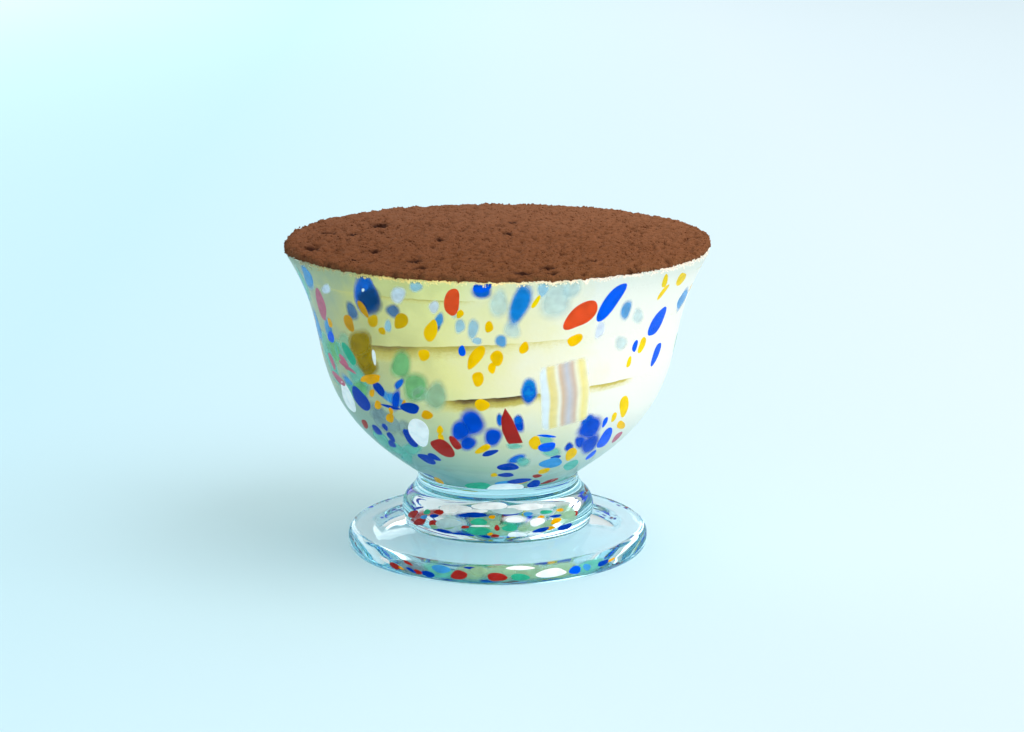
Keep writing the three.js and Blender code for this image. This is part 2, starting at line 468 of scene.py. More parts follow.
def soaked_sponge():
    """From cream, where the sponge is smeared over, through yellow to coffee brown, by "soak"."""
    material, g = new_material("soaked_sponge")
    crumb = g.grain(size=0.9, detail=3.0, stretch=(1, 1, 2))
    shifted = g.plus(g.uneven(crumb), 0.22, g.layer("soak"))
    bare = g.ramp(shifted, [
        (0.10, (0.88, 0.74, 0.24)), (0.45, (0.60, 0.46, 0.09)), (0.72, (0.27, 0.17, 0.045)),
        (1.00, (0.07, 0.035, 0.012)),
    ])
    # Where cream is smeared over it, the sponge takes the cream's colour with its painted light and shade.
    colour = g.mix(g.share(shifted, low=0.04, high=0.30), cream_tone_and_shade(g), bare)
    g.end_dull(colour, roughness=0.6, shine=0.15, normal=g.bump(crumb, distance=0.15))
    return material


def cocoa_powder():
    """Painted shade: darker to the front and to the left, lighter to the right where the light falls, and
    darkened in pits and in creases between clumps, where shade lies, by a value that the mesh holds.
    """
    material, g = new_material("cocoa_powder")
    place = g.place()
    # Painted shade: the powder is darker towards the front.
    away = g.share(place.outputs["Y"], low=-0.05, high=0.05)
    clouds = g.uneven(g.grain(size=11, detail=3.0))
    base = g.ramp(g.plus(clouds, 0.6, away), [
        (0.0, (0.190, 0.079, 0.032)), (0.3, (0.197, 0.081, 0.035)), (0.8, (0.230, 0.102, 0.050)),
    ])
    # Painted light and shade: darker on the left, lighter on the right.
    sides = g.ramp(g.share(place.outputs["X"], low=-0.045, high=0.045), [
        (0.0, (0.88, 0.87, 0.87)), (0.5, (1.0, 1.0, 1.0)), (1.0, (1.13, 1.14, 1.12)),
    ])
    tone = g.ramp(g.grain(size=0.3, detail=2.0), [
        (0.32, (0.92, 0.91, 0.90)), (0.55, (1.06, 1.06, 1.06)), (0.75, (1.2, 1.22, 1.24)),
    ])
    speckled = g.mix(1.0, g.mix(1.0, base, sides, "MULTIPLY"), tone, "MULTIPLY")
    # Painted shade in the pits and the creases.
    colour = g.mix(g.layer("painted_hollow_shade"), speckled, (0.035, 0.011, 0.005, 1))
    normal = g.bump(g.grain(size=0.45, detail=4.0), distance=0.4)
    g.end_dull(colour, roughness=0.95, shine=0.1, normal=normal)
    return material


def coloured_glass(name, see_through, contrast):
    """Flecks in the wall. Their colour is the mesh's own, and "cover" is how solid they are.

    Light goes through them to what is behind, as it does through thin glass.
    """
    material, g = new_material(name)
    clouds = g.grain(size=2.2, detail=2.0)
    shade = g.ramp(clouds, [(0.32, [1 - contrast] * 3), (0.68, [1 + contrast] * 3)])
    inputs = {
        "Base Color": g.mix(1.0, g.layer("tint", "Color"), shade, "MULTIPLY"),
        "Roughness": 0.35,
        "Specular IOR Level": 0.0,
    }
    if see_through:
        inputs["Alpha"] = g.layer("cover")
    g.end(g.lit_through(g.add("BsdfPrincipled", inputs), (0.99, 0.99, 0.99, 1.0)))
    return material


glass_material = clear_glass()
cream_material = whipped_cream()
sponge_material = soaked_sponge()
cocoa_material = cocoa_powder()
sharp_material = coloured_glass("fleck_glass", see_through=False, contrast=0.12)
soft_material = coloured_glass("fleck_glass_soft", see_through=True, contrast=0.14)
cane_material = coloured_glass("cane_glass", see_through=True, contrast=0.04)

# ---------------------------------------------------------------- the cup


def make_cup():
    """The cup. Its stem and foot are a little out of round, as by hand."""
    profile = cup_profile()
    angle = np.arange(CUP_SEGMENTS)[:, None] * TURN / CUP_SEGMENTS
    profiles = np.repeat(profile[None], CUP_SEGMENTS, axis=0)
    reach = profiles[:, :, 0]
    below_neck = np.clip((NECK_HEIGHT - profiles[:, :, 1]) / NECK_HEIGHT, 0, 1)
    two, three, five = OUT_OF_ROUND
    hand = two * np.cos(2 * angle + 0.6) + three * np.sin(3 * angle) + five * np.sin(5 * angle + 1)
    profiles[:, :, 0] = reach + hand * below_neck * reach / FOOT_RADIUS
    piece = solid("cup", *lathe(profiles), glass_material)
    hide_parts("glass_cup")


# ---------------------------------------------------------------- the food

food_angle = np.arange(FOOD_SEGMENTS) * TURN / FOOD_SEGMENTS


def sponge_top(sponge):
    """The height of a sheet's upper face over a radius, for every azimuth."""

    def height(radius):
        reach = radius / BELLY_RADIUS
        torn = SHEET_TORN * noise(food_angle * 30, radius / 3, sponge["seed"]) * (radius > SHEET_TORN_FROM)
        wave = sponge["wave"] * np.sin(SHEET_WAVES * food_angle + sponge["phase"])
        return sponge["top"] + sponge["rise"] * reach * np.sin(food_angle) + wave * reach + torn

    return height


def sponge_underside(sponge):
    """The height of its lower face, in the same way."""

    def height(radius):
        thin = 1 - sponge["taper"] * radius * np.sin(food_angle) / BELLY_RADIUS
        return sponge_top(sponge)(radius) - sponge["thickness"] * thin

    return height


def wall_meeting(surface):
    """Radius and height at which a surface in the food meets the glass, for every azimuth."""
    radius = np.full(FOOD_SEGMENTS, BELLY_RADIUS)
    for _ in range(8):
        radius = inside_radius(surface(radius)) + INTO_WALL
    return radius, surface(radius)


def columns_on(surface, radius, shares):
    """Points of every profile on a surface in the food, at shares of a radius."""
    return [np.stack([radius * share, surface(radius * share)], axis=1) for share in shares]


def slice_profiles(lower, upper, rows):
    """Profiles of the food between two surfaces, reaching into the glass, and each point's share up."""
    low_radius, low_z = wall_meeting(lower)
    high_radius, high_z = wall_meeting(upper)
    columns = columns_on(lower, low_radius, INWARD_SHARES)
    heights = [0.0] * len(columns)
    for i in range(rows + 1):
        share = i / rows
        z = low_z + (high_z - low_z) * share
        columns.append(np.stack([inside_radius(z) + INTO_WALL, z], axis=1))
        heights.append(share)
    columns += columns_on(upper, high_radius, reversed(INWARD_SHARES))
    heights += [1.0] * len(INWARD_SHARES)
    return level_poles(np.stack(columns, axis=1)), np.array(heights)


def level_poles(profiles):
    """The same profiles, with one height for all of them on the axis."""
    profiles[:, 0, 1] = profiles[:, 0, 1].mean()
    profiles[:, -1, 1] = profiles[:, -1, 1].mean()
    return profiles


# How strongly each sheet shows through the glass: azimuth in degrees, from 0 (smeared over with
# cream) to 1 (bare, and soaked with coffee).
SHOWING = {
    "sponge_lower": [
        (-180, 0.6), (-120, 0.4), (-70, 0.05), (-24, 0.05), (-13, 0.85), (-9, 1.0), (-4, 0.85), (8, 0.95),
        (12, 0.5), (30, 0.45), (46, 0.4), (52, 0.0), (80, 0.0), (130, 0.6), (180, 0.6),
    ],
    "sponge_middle": [
        (-180, 0.5), (-110, 0.5), (-62, 0.2), (-52, 0.4), (-42, 0.75), (-30, 0.62), (-16, 0.5), (-4, 0.36),
        (6, 0.22), (22, 0.18), (28, 0.0), (60, 0.0), (100, 0.3), (140, 0.7), (180, 0.5),
    ],
    "sponge_upper": [
        (-180, 0.5), (-100, 0.3), (-60, 0.1), (-46, 0.22), (-30, 0.34), (-10, 0.3), (-4, 0.0), (60, 0.0),
        (110, 0.4), (160, 0.6), (180, 0.5),
    ],
}


# A sheet's soak over its height: shares up from its lower face, and how soaked it is there.
SOAK_UPWARDS = [(0.0, 0.0), (0.25, 0.30), (0.62, 0.52), (0.80, 0.80), (1.0, 1.0)]


def soak_of(name, heights):
    """How brown each point of a sheet is: darkest in a line along its upper edge."""
    azimuth = (np.degrees(food_angle) + 180) % 360 - 180
    stops = np.array(SHOWING[name])
    showing = np.interp(azimuth, stops[:, 0], stops[:, 1])
    blotches = noise(food_angle * 9, np.zeros(FOOD_SEGMENTS), SPONGES[name]["seed"] + 40)
    showing = np.clip(showing * (1 + SHEET_BLOTCHES * blotches), 0, 1)
    shares_up, depths = np.transpose(SOAK_UPWARDS)
    depth = np.interp(heights[1:-1], shares_up, depths)
    soak = (showing[:, None] * depth[None, :]).ravel()
    return np.concatenate([soak, [soak.mean()] * 2])


def make_sponge(name):
    """A sheet of soaked sponge, from wall to wall."""
    sponge = SPONGES[name]
    lower = sponge_underside(sponge)
    upper = sponge_top(sponge)
    profiles, heights = slice_profiles(lower, upper, SHEET_ROWS)
    soak = soak_of(name, heights)
    piece = solid(name + "_sheet", *lathe(profiles), sponge_material, layers={"soak": soak})
    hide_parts(name)


def make_cream(name, index):
    """The cream under the sheet of sponge with this index, or under the cocoa."""
    sheets = list(SPONGES.values())
    upper = sponge_underside(sheets[index]) if index < len(sheets) else flat(CUP_HEIGHT)
    if index == 0:
        profiles = base_profiles(upper)
    else:
        profiles, _ = slice_profiles(sponge_top(sheets[index - 1]), upper, CREAM_ROWS)
    piece = solid(name + "_fill", *lathe(profiles), cream_material)
    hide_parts(name)


def flat(height):
    """A level surface in the food."""
    return lambda radius: np.full(FOOD_SEGMENTS, height)


def base_profiles(upper):
    """The lowest cream, which fills the bowl's round floor."""
    high_radius, high_z = wall_meeting(upper)
    columns = []
    for i in range(BASE_ROWS + 1):
        share = 1 - math.cos(i / BASE_ROWS * math.pi / 2)
        z = BOWL_FLOOR + (high_z - BOWL_FLOOR) * share
        radius = inside_radius(z) + INTO_WALL * (i > 0)
        columns.append(np.stack([radius, z - INTO_WALL * (1 - share)], axis=1))
    columns += columns_on(upper, high_radius, reversed(INWARD_SHARES))
    return level_poles(np.stack(columns, axis=1))


# ---------------------------------------------------------------- photograph to wall

CUP_SPAN = (560, 720)  # the cup lies between these distances from the camera
RAY_STEPS = 400
focal = LENS / SENSOR * PHOTO_WIDTH
camera_turn = np.array(Matrix.Rotation(math.pi / 2 - CAMERA_PITCH, 3, "X"))


def sight(pixel):
    """The direction in which a pixel looks."""
    across = (pixel[0] - PHOTO_WIDTH / 2) / focal
    down = (pixel[1] - PHOTO_HEIGHT / 2) / focal
    line = camera_turn @ np.array([across, -down, -1.0])
    return line / np.linalg.norm(line)


def on_level(pixel, height):
    """The point of a level plane that a pixel shows."""
    line = sight(pixel)
    return CAMERA_PLACE + line * (height - CAMERA_PLACE[2]) / line[2]


def first_crossing(start, lines, near, far, outline):
    """The points where rays pass within a surface of revolution, or come nearest to it."""
    along = np.linspace(near, far, RAY_STEPS)[:, None, None]
    spots = start + along * lines
    gap = np.hypot(spots[..., 0], spots[..., 1]) - np.interp(spots[..., 2], outline[:, 1], outline[:, 0])
    hit = np.where((gap < 0).any(axis=0), np.argmax(gap < 0, axis=0), np.argmin(gap, axis=0))
    before = np.maximum(hit - 1, 0)
    each = np.arange(len(lines))
    outer, inner = gap[before, each], gap[hit, each]
    share = np.clip(outer / np.where(outer > inner, outer - inner, 1), 0, 1)[:, None]
    return spots[before, each] * (1 - share) + spots[hit, each] * share


class Surface:
    """A round stretch of the glass's outside. A run is a length along its outline, from below."""

    def __init__(self, outline):
        self.outline = outline
        self.run = lengths_along(outline)
        self.normals = outward(outline)
        self.sinking = self.normals

    def squeeze(self, runs, shares):
        """Makes depths shallower at some runs, where the glass has too little room for them."""
        self.sinking = self.normals * np.interp(self.run, runs, shares)[:, None]

    def at(self, run, table):
        return np.stack([np.interp(run, self.run, table[:, i]) for i in (0, 1)], axis=-1)

    def radius(self, run):
        return self.at(run, self.outline)[..., 0]

    def points(self, azimuth, run, depth):
        """Points at a depth inside this surface."""
        spots = self.at(run, self.outline) - np.asarray(depth)[..., None] * self.at(run, self.sinking)
        return round_axis(spots[..., 0], azimuth, spots[..., 1])

    def seen(self, pixels, depth):
        """Azimuth and run of what pixels show at a depth in the glass."""
        lines = np.array([sight(pixel) for pixel in np.atleast_2d(pixels)])
        hits = first_crossing(CAMERA_PLACE, lines, *CUP_SPAN, self.outline)
        azimuth = np.arctan2(hits[:, 0], -hits[:, 1])
        out, up = self.at(np.interp(hits[:, 2], self.outline[:, 1], self.run), self.normals).T
        normals = round_axis(out, azimuth, up)
        facing = np.minimum((lines * normals).sum(axis=1), 0)[:, None]
        bent = (lines - facing * normals) / GLASS_IOR
        bent -= normals * np.sqrt(np.clip(1 - (bent**2).sum(axis=1), 0.05, 1))[:, None]
        deep = self.outline - depth * self.sinking
        spots = first_crossing(hits, bent, 0, 4 * depth, deep)
        azimuth = np.arctan2(spots[:, 0], -spots[:, 1])
        return np.stack([azimuth, np.interp(spots[:, 2], deep[:, 1], self.run)], axis=1)


bowl = Surface(np.concatenate([outside, lip_curve[1:]]))
wall_run = bowl.run[len(outside) - 1]  # where the lip starts to round
# The wall is a little thinner over the collar, and its end rounds off into the lip.
bowl.squeeze([7, 13, 19, 28, wall_run - 4, wall_run], [1.0, 0.86, 0.86, 1.0, 1.0, 0.45])
collar = Surface(np.concatenate([collar_bulge, waist[1:]]))
foot_edge = Surface(edge_rounding[2:-2])
foot_edge.squeeze([0, 1], [0.5, 0.5])  # the edge is round and thin all the way


# ---------------------------------------------------------------- flecks

# The colours of the flecks, as a screen has them.
SCREEN_TONES = {
    "yellow": (255, 197, 0),
    "lemon": (255, 212, 0),
    "amber": (240, 170, 0),
    # Yellow and amber, painted darker as painted shade for flecks on the shaded left side.
    "mustard": (220, 170, 0),
    "ochre": (210, 147, 0),
    "olive": (158, 128, 0),
    "orange": (240, 80, 32),
    "brick": (172, 40, 32),
    "pink": (196, 104, 128),
    "blue": (0, 92, 240),
    "deep": (0, 58, 172),
    "cobalt": (0, 74, 200),
    "navy": (0, 58, 112),
    "azure": (10, 100, 205),
    "cerulean": (20, 130, 212),
    "slate": (66, 108, 156),
    "sky": (64, 152, 216),
    "pale": (140, 194, 224),
    "smoke_and_shade": (122, 148, 156),
    "haze": (186, 214, 216),
    "lilac": (216, 224, 240),
    "green": (112, 184, 118),
    "teal": (100, 190, 172),
    "sea": (52, 176, 140),
    "moss": (146, 186, 150),
    "white": (250, 253, 255),
}
TONES = {tone: srgb(*levels) for tone, levels in SCREEN_TONES.items()}

# Flecks of the side that the photograph shows, by tone. Each is the pixel of its middle, its width and
# length in millimetres as the camera sees them, and how far its length leans to the right, in degrees.
SHARP_FLECKS = {
    # Yellow flecks on the left, painted darker as painted shade.
    "mustard": [((373, 321), 2.5, 2.8, 0), ((401, 321), 3.0, 4.0, 30), ((382, 331), 1.4, 2.0, -35)],
    "yellow": [
        ((431, 331), 3.0, 5.1, 12), ((460, 314), 1.5, 2.1, 40), ((489, 327), 2.0, 2.5, 0),
        ((424, 355), 2.8, 2.6, 0), ((476, 357), 2.6, 6.6, 35), ((497, 358), 3.1, 3.4, 0),
        ((492, 368), 1.9, 2.5, 0), ((478, 379), 2.8, 3.3, 0), ((482, 405), 3.4, 2.8, 0),
        ((524, 348), 2.1, 2.8, 25), ((575, 340), 2.4, 3.8, 60), ((621, 425), 1.9, 2.1, 20),
        ((535, 443), 2.9, 3.1, 20), ((571, 454), 2.1, 3.6, 35), ((544, 471), 1.2, 2.9, 70),
        ((483, 449), 1.5, 4.2, 65), ((494, 475), 0.9, 1.7, 85), ((440, 430), 1.6, 1.9, 0),
        ((441, 438), 1.4, 2.1, -15),
    ],
    "lemon": [
        ((536, 302), 1.1, 3.4, 35), ((665, 281), 1.1, 3.5, 15), ((663, 292), 0.8, 4.8, 38),
        ((681, 279), 1.6, 3.5, 30), ((642, 345), 1.4, 4.0, 20), ((629, 362), 1.0, 2.7, 15),
        ((624, 406), 2.1, 5.2, 10), ((614, 417), 1.0, 2.6, 25),
    ],
    # Amber flecks on the left, painted darker as painted shade.
    "ochre": [((349, 323), 2.1, 4.2, -20), ((363, 309), 1.3, 4.9, -30)],
    "amber": [
        ((372, 380), 3.6, 1.9, 0), ((372, 393), 1.2, 1.9, 0), ((378, 405), 1.6, 2.2, -20),
        ((404, 404), 1.0, 1.9, 10), ((391, 411), 1.0, 1.7, -25), ((390, 418), 1.9, 2.2, -30),
        ((427, 415), 2.0, 2.8, -70), ((330, 323), 0.9, 2.4, -15), ((439, 481), 1.1, 2.9, -55),
        ((370, 378), 1.6, 5.0, 82),
    ],
    "orange": [((452, 302), 3.6, 6.3, 10), ((581, 315), 4.3, 9.6, 50)],
    "brick": [
        ((443, 448), 3.1, 6.7, -58), ((455, 443), 1.7, 4.2, -40), ((537, 476), 0.8, 2.4, 85),
        ((498, 497), 0.5, 2.6, 90), ((458, 493), 1.1, 3.1, 85), ((365, 424), 1.2, 2.4, -30),
    ],
    "blue": [
        ((611, 302), 3.0, 11.0, 38), ((482, 287), 2.4, 4.6, 82), ((657, 322), 2.3, 8.0, 28),
        ((656, 354), 1.4, 5.9, 20), ((635, 346), 1.1, 3.0, 20), ((462, 351), 1.7, 2.5, 0),
        ((605, 438), 2.2, 5.7, 35), ((591, 455), 0.9, 3.3, 50), ((605, 422), 1.0, 2.6, 25),
        ((547, 436), 0.6, 4.5, -84), ((547, 447), 2.1, 4.3, 75), ((331, 337), 1.4, 2.9, -15),
    ],
    "deep": [
        ((379, 389), 1.9, 4.0, -40), ((361, 399), 2.7, 6.9, -32), ((410, 408), 2.4, 4.8, -78),
        ((391, 407), 0.7, 5.2, -76), ((411, 438), 2.3, 5.5, -38), ((427, 459), 1.7, 4.7, -65),
        ((434, 457), 1.2, 3.5, -65), ((377, 430), 1.3, 3.3, -40), ((385, 427), 1.0, 2.0, -40),
        ((391, 437), 1.2, 2.9, -40), ((392, 444), 1.2, 2.4, -45), ((490, 453), 1.3, 3.8, 75),
        ((508, 467), 1.8, 5.0, 88), ((506, 475), 1.0, 4.0, 90), ((519, 481), 1.2, 5.7, 82),
        ((534, 484), 1.7, 3.4, 75), ((463, 490), 0.8, 7.0, -82), ((556, 457), 0.7, 2.6, 82),
    ],
    "white": [
        ((419, 432), 4.6, 6.8, -30), ((363, 290), 0.7, 0.8, 0), ((374, 357), 0.9, 3.6, -8),
        ((348, 397), 2.6, 8.0, -25), ((505, 489), 2.8, 9.0, 88),
    ],
    "sky": [((551, 463), 2.3, 5.5, 78)],
    "teal": [((571, 465), 1.8, 4.2, 60)],
    "sea": [((478, 486), 1.9, 5.8, 90), ((349, 354), 1.7, 6.4, -28)],
    "pink": [
        ((321, 304), 1.9, 7.5, -15), ((344, 362), 1.1, 4.5, -30), ((339, 379), 1.1, 5.0, -40),
        ((617, 437), 1.0, 3.5, 45), ((347, 367), 0.7, 5.5, -52), ((332, 361), 0.8, 4.5, -22),
        ((323, 315), 0.7, 3.0, -20),
    ],
}
SOFT_FLECKS = {
    # The grey smoke flecks at the lower left are partly glass and partly painted shade, where the cream
    # lies in shade.
    "smoke_and_shade": [((386, 421), 4.6, 9.0, -55), ((376, 411), 3.4, 5.4, -45), ((404, 428), 3.0, 4.0, -20)],
    "teal": [
        ((412, 449), 4.6, 3.0, 0), ((381, 438), 3.6, 7.6, -50), ((396, 448), 2.6, 6.0, -55),
        ((523, 462), 3.4, 2.2, 0), ((358, 377), 3.4, 9.0, -34), ((304, 283), 1.6, 9.0, -24),
        ((341, 352), 2.6, 7.0, -26), ((551, 452), 4.7, 2.4, 0), ((407, 457), 5.0, 2.6, 0),
        ((352, 392), 1.8, 6.0, -36), ((326, 345), 1.8, 8.0, -16), ((333, 366), 2.0, 9.0, -20),
        ((545, 440), 4.0, 2.0, 0), ((514, 446), 3.8, 1.6, 0),
    ],
    "cobalt": [
        ((472, 423), 6.2, 6.4, 0), ((460, 431), 4.6, 4.8, 0), ((468, 443), 3.9, 3.7, 0),
        ((493, 437), 4.3, 4.6, 0), ((519, 424), 2.6, 4.1, -5), ((590, 428), 4.2, 7.2, 45),
        ((590, 444), 3.3, 5.6, 40), ((580, 442), 2.6, 3.0, 0), ((569, 447), 1.9, 2.4, 35),
        ((396, 400), 2.0, 5.2, 5),
    ],
    "navy": [((370, 303), 5.6, 6.0, 0), ((368, 297), 5.4, 6.0, 0)],
    "azure": [
        ((366, 294), 6.3, 9.4, -12), ((529, 394), 3.8, 4.6, 10), ((482, 291), 4.6, 3.6, 0),
        ((500, 420), 1.8, 3.0, 0), ((517, 459), 2.0, 4.4, 75), ((399, 384), 1.6, 3.2, 40),
        ((588, 422), 3.0, 4.0, 45), ((518, 420), 2.0, 2.0, 0),
    ],
    "cerulean": [((520, 304), 4.4, 10.6, 18), ((529, 388), 3.8, 4.4, 10)],
    "slate": [((352, 311), 2.3, 4.8, -20), ((393, 311), 2.9, 3.6, -35), ((437, 325), 1.8, 3.8, 15)],
    "sky": [
        ((501, 341), 2.7, 3.0, 0), ((626, 310), 2.3, 4.7, 15), ((439, 320), 2.1, 3.4, 15),
        ((308, 277), 2.8, 6.0, -25), ((305, 292), 1.6, 8.0, -20), ((318, 326), 1.4, 8.0, -16),
        ((682, 299), 2.0, 7.0, 30), ((352, 387), 1.6, 7.5, -36), ((329, 330), 1.6, 6.0, -18),
        ((395, 400), 2.6, 5.0, -55), ((386, 396), 1.6, 5.0, -45),
    ],
    "pale": [
        ((473, 329), 2.6, 4.6, 10), ((460, 326), 2.4, 3.4, 0), ((416, 286), 2.8, 3.0, 0),
        ((388, 326), 1.7, 2.9, 0), ((477, 341), 2.4, 1.6, 0), ((543, 289), 2.6, 3.6, 20),
        ((697, 300), 1.6, 8.0, 26),
    ],
    "haze": [
        ((556, 300), 7.0, 9.0, 30), ((499, 304), 4.4, 6.4, 0), ((572, 288), 4.0, 5.0, 30),
        ((621, 343), 2.8, 3.3, 0), ((638, 316), 2.4, 3.6, 0), ((512, 330), 4.0, 4.0, 0),
        ((455, 312), 2.0, 3.0, 0),
    ],
    "lilac": [
        ((398, 295), 3.4, 3.8, 0), ((434, 307), 2.4, 2.8, 0), ((326, 289), 2.0, 2.4, 0),
        ((600, 330), 2.0, 4.0, 20),
    ],
    "green": [
        ((401, 365), 4.9, 6.6, 0), ((415, 387), 6.2, 6.6, 0), ((334, 350), 2.8, 7.0, -25),
        ((360, 391), 3.8, 5.2, -30),
    ],
    "moss": [((436, 396), 5.0, 7.0, 0), ((420, 394), 4.0, 4.0, 0), ((345, 343), 2.8, 5.0, -20)],
    "olive": [((360, 343), 5.6, 6.6, -6), ((363, 354), 4.8, 7.6, -12), ((367, 367), 5.0, 5.6, -20)],
}

# Broad soft patches in the collar, behind its flecks. They are partly fleck images and partly painted
# light and shade: the moss ones are painted shade, the shaded cream seen through the glass, and the long
# level haze and white ones highest up are the shoulder's painted highlight.
COLLAR_PATCHES_AND_PAINTED_LIGHT = {
    "haze": [
        ((450, 524), 4.6, 9.0, 88), ((497, 509), 2.4, 14.0, 90), ((540, 512), 2.4, 8.0, 86),
        ((525, 532), 3.0, 8.0, 90),
    ],
    "moss": [
        ((484, 520), 4.4, 9.0, 90), ((498, 531), 3.4, 9.0, 90), ((565, 515), 4.8, 8.0, 75),
        ((447, 531), 2.6, 7.0, -75), ((535, 528), 3.6, 9.0, 85),
    ],
    "sea": [((478, 531), 2.6, 7.0, 90), ((509, 526), 2.6, 5.0, 90), ((480, 521), 2.0, 5.0, 90)],
    "white": [
        ((456, 511), 2.0, 9.0, 88), ((490, 506), 1.8, 14.0, 90), ((515, 519), 2.0, 6.0, 90),
        ((536, 523), 3.0, 5.0, 80), ((527, 535), 2.0, 9.0, 88), ((540, 507), 1.6, 8.0, 86),
    ],
    "brick": [((419, 520), 4.4, 5.4, 70), ((434, 513), 1.8, 5.5, 85)],
    "deep": [((473, 515), 1.4, 11.0, 90), ((458, 533), 1.4, 9.0, -82), ((421, 527), 1.2, 5.0, -60)],
}

# Flecks in the collar, and after them those in the foot's front edge.
COLLAR_FLECKS = {
    "brick": [
        ((413, 514), 1.6, 2.6, 60), ((419, 522), 1.6, 2.8, 70), ((433, 523), 1.4, 2.2, 80),
        ((439, 512), 1.2, 2.4, 90), ((465, 527), 0.7, 2.0, 90), ((497, 528), 1.3, 1.4, 0),
        ((495, 536), 0.9, 2.0, 90), ((467, 539), 0.6, 3.0, 95), ((497, 541), 0.6, 3.4, 90),
        ((576, 513), 1.0, 1.2, 0), ((427, 530), 0.8, 1.8, -60),
    ],
    "deep": [
        ((434, 516), 0.9, 2.2, 90), ((473, 515), 1.3, 6.4, 90), ((443, 531), 0.8, 5.2, -78),
        ((463, 535), 0.9, 5.6, -84), ((511, 514), 0.8, 4.0, 86), ((541, 530), 1.0, 4.2, 78),
        ((565, 527), 1.4, 3.6, 72), ((453, 507), 0.6, 3.4, 90), ((486, 538), 0.6, 4.2, 90),
        ((556, 516), 0.7, 3.0, 84), ((418, 508), 0.6, 2.6, 80),
    ],
    # Some white flecks here are painted highlight: the long level ones near the top, at 506 to 511 down,
    # and the thin one at (480, 526); the rest are white glass.
    "white": [
        ((450, 511), 1.0, 3.6, 90), ((514, 520), 1.3, 4.4, 90), ((537, 522), 2.0, 3.6, 80),
        ((517, 535), 1.3, 5.0, 90), ((534, 534), 0.9, 3.4, 86), ((440, 519), 0.7, 2.4, 90),
        ((455, 508), 1.6, 8.0, 90), ((490, 506), 1.8, 11.0, 90), ((526, 507), 1.7, 9.0, 88),
        ((474, 511), 0.9, 7.0, 90), ((480, 526), 0.4, 5.0, 90),
    ],
    "sea": [
        ((479, 522), 1.7, 4.2, 90), ((481, 531), 1.8, 4.8, 90), ((510, 528), 1.7, 3.8, 90),
        ((546, 512), 1.0, 3.0, 86), ((427, 512), 1.2, 1.8, 80),
    ],
    "haze": [((508, 511), 1.5, 8.0, 90), ((541, 511), 1.3, 6.0, 86), ((448, 523), 2.4, 6.0, 90)],
    "sky": [((455, 522), 1.2, 3.0, 90), ((424, 517), 1.0, 1.8, 80), ((528, 514), 1.0, 2.4, 88)],
    "moss": [
        ((568, 515), 1.8, 4.2, 76), ((448, 526), 1.4, 3.4, -84), ((495, 523), 1.2, 2.4, 90),
        ((550, 523), 1.6, 3.0, 80), ((523, 529), 1.0, 2.6, 88), ((434, 527), 1.0, 2.0, -75),
    ],
    "amber": [
        ((492, 517), 0.9, 1.7, 90), ((541, 517), 0.7, 1.8, 80), ((556, 521), 1.3, 2.8, 70),
        ((551, 528), 0.9, 2.2, 80), ((560, 510), 0.8, 1.8, 80), ((490, 534), 0.7, 1.4, 90),
    ],
}
EDGE_FLECKS = {
    "brick": [
        ((395, 566), 1.2, 3.0, -60), ((408, 563), 0.7, 2.4, -62), ((418, 572), 1.0, 2.2, -66),
        ((459, 575), 2.3, 3.8, 88), ((497, 577), 2.0, 4.8, 90), ((497, 564), 0.5, 5.2, 90),
    ],
    "deep": [
        ((428, 574), 1.3, 3.6, -72), ((470, 568), 0.6, 2.8, -86), ((603, 563), 1.2, 2.8, 64),
        ((411, 570), 0.7, 2.6, -60),
    ],
    "blue": [((575, 570), 2.0, 2.8, 70)],
    "sky": [((441, 569), 1.9, 4.4, -82), ((587, 567), 1.8, 1.7, 0)],
    "sea": [((520, 577), 1.6, 4.6, 90)],
    "white": [((551, 573), 2.0, 7.6, 82), ((520, 568), 1.0, 6.6, 90), ((385, 560), 0.9, 2.8, -58)],
    "moss": [((479, 571), 1.8, 4.2, 90), ((509, 572), 1.0, 3.2, 90)],
    "amber": [((611, 560), 0.6, 2.2, 62), ((401, 568), 0.5, 1.6, -60)],
}

# Broad soft patches in the foot's front edge: painted shade, the shaded underside of the bowl seen through
# the glass.
EDGE_PATCHES_AND_PAINTED_SHADE = {
    "moss": [
        ((472, 572), 4.0, 9.0, 90), ((500, 573), 4.0, 9.0, 90), ((530, 572), 4.0, 9.0, 88),
        ((560, 570), 4.0, 9.0, 84),
    ],
    "teal": [((437, 571), 3.6, 9.0, -82), ((590, 566), 3.0, 8.0, 68)],
    "smoke_and_shade": [((412, 568), 3.6, 8.0, -66)],
}

# How solid the bowl's soft flecks are by tone, where they aren't wholly solid.
SOFT_COVER = {
    "sky": 0.92, "pale": 0.8, "haze": 0.65, "lilac": 0.9, "green": 0.92, "teal": 0.8, "moss": 0.85,
    "slate": 0.95, "smoke_and_shade": 0.65, "navy": 0.85,
}
PATCH_COVER = 0.85

# The one shard with corners, by the pixels round it.
SHARD_CORNERS = [(505, 408), (512, 418), (523, 443), (508, 444), (502, 431), (501, 419)]

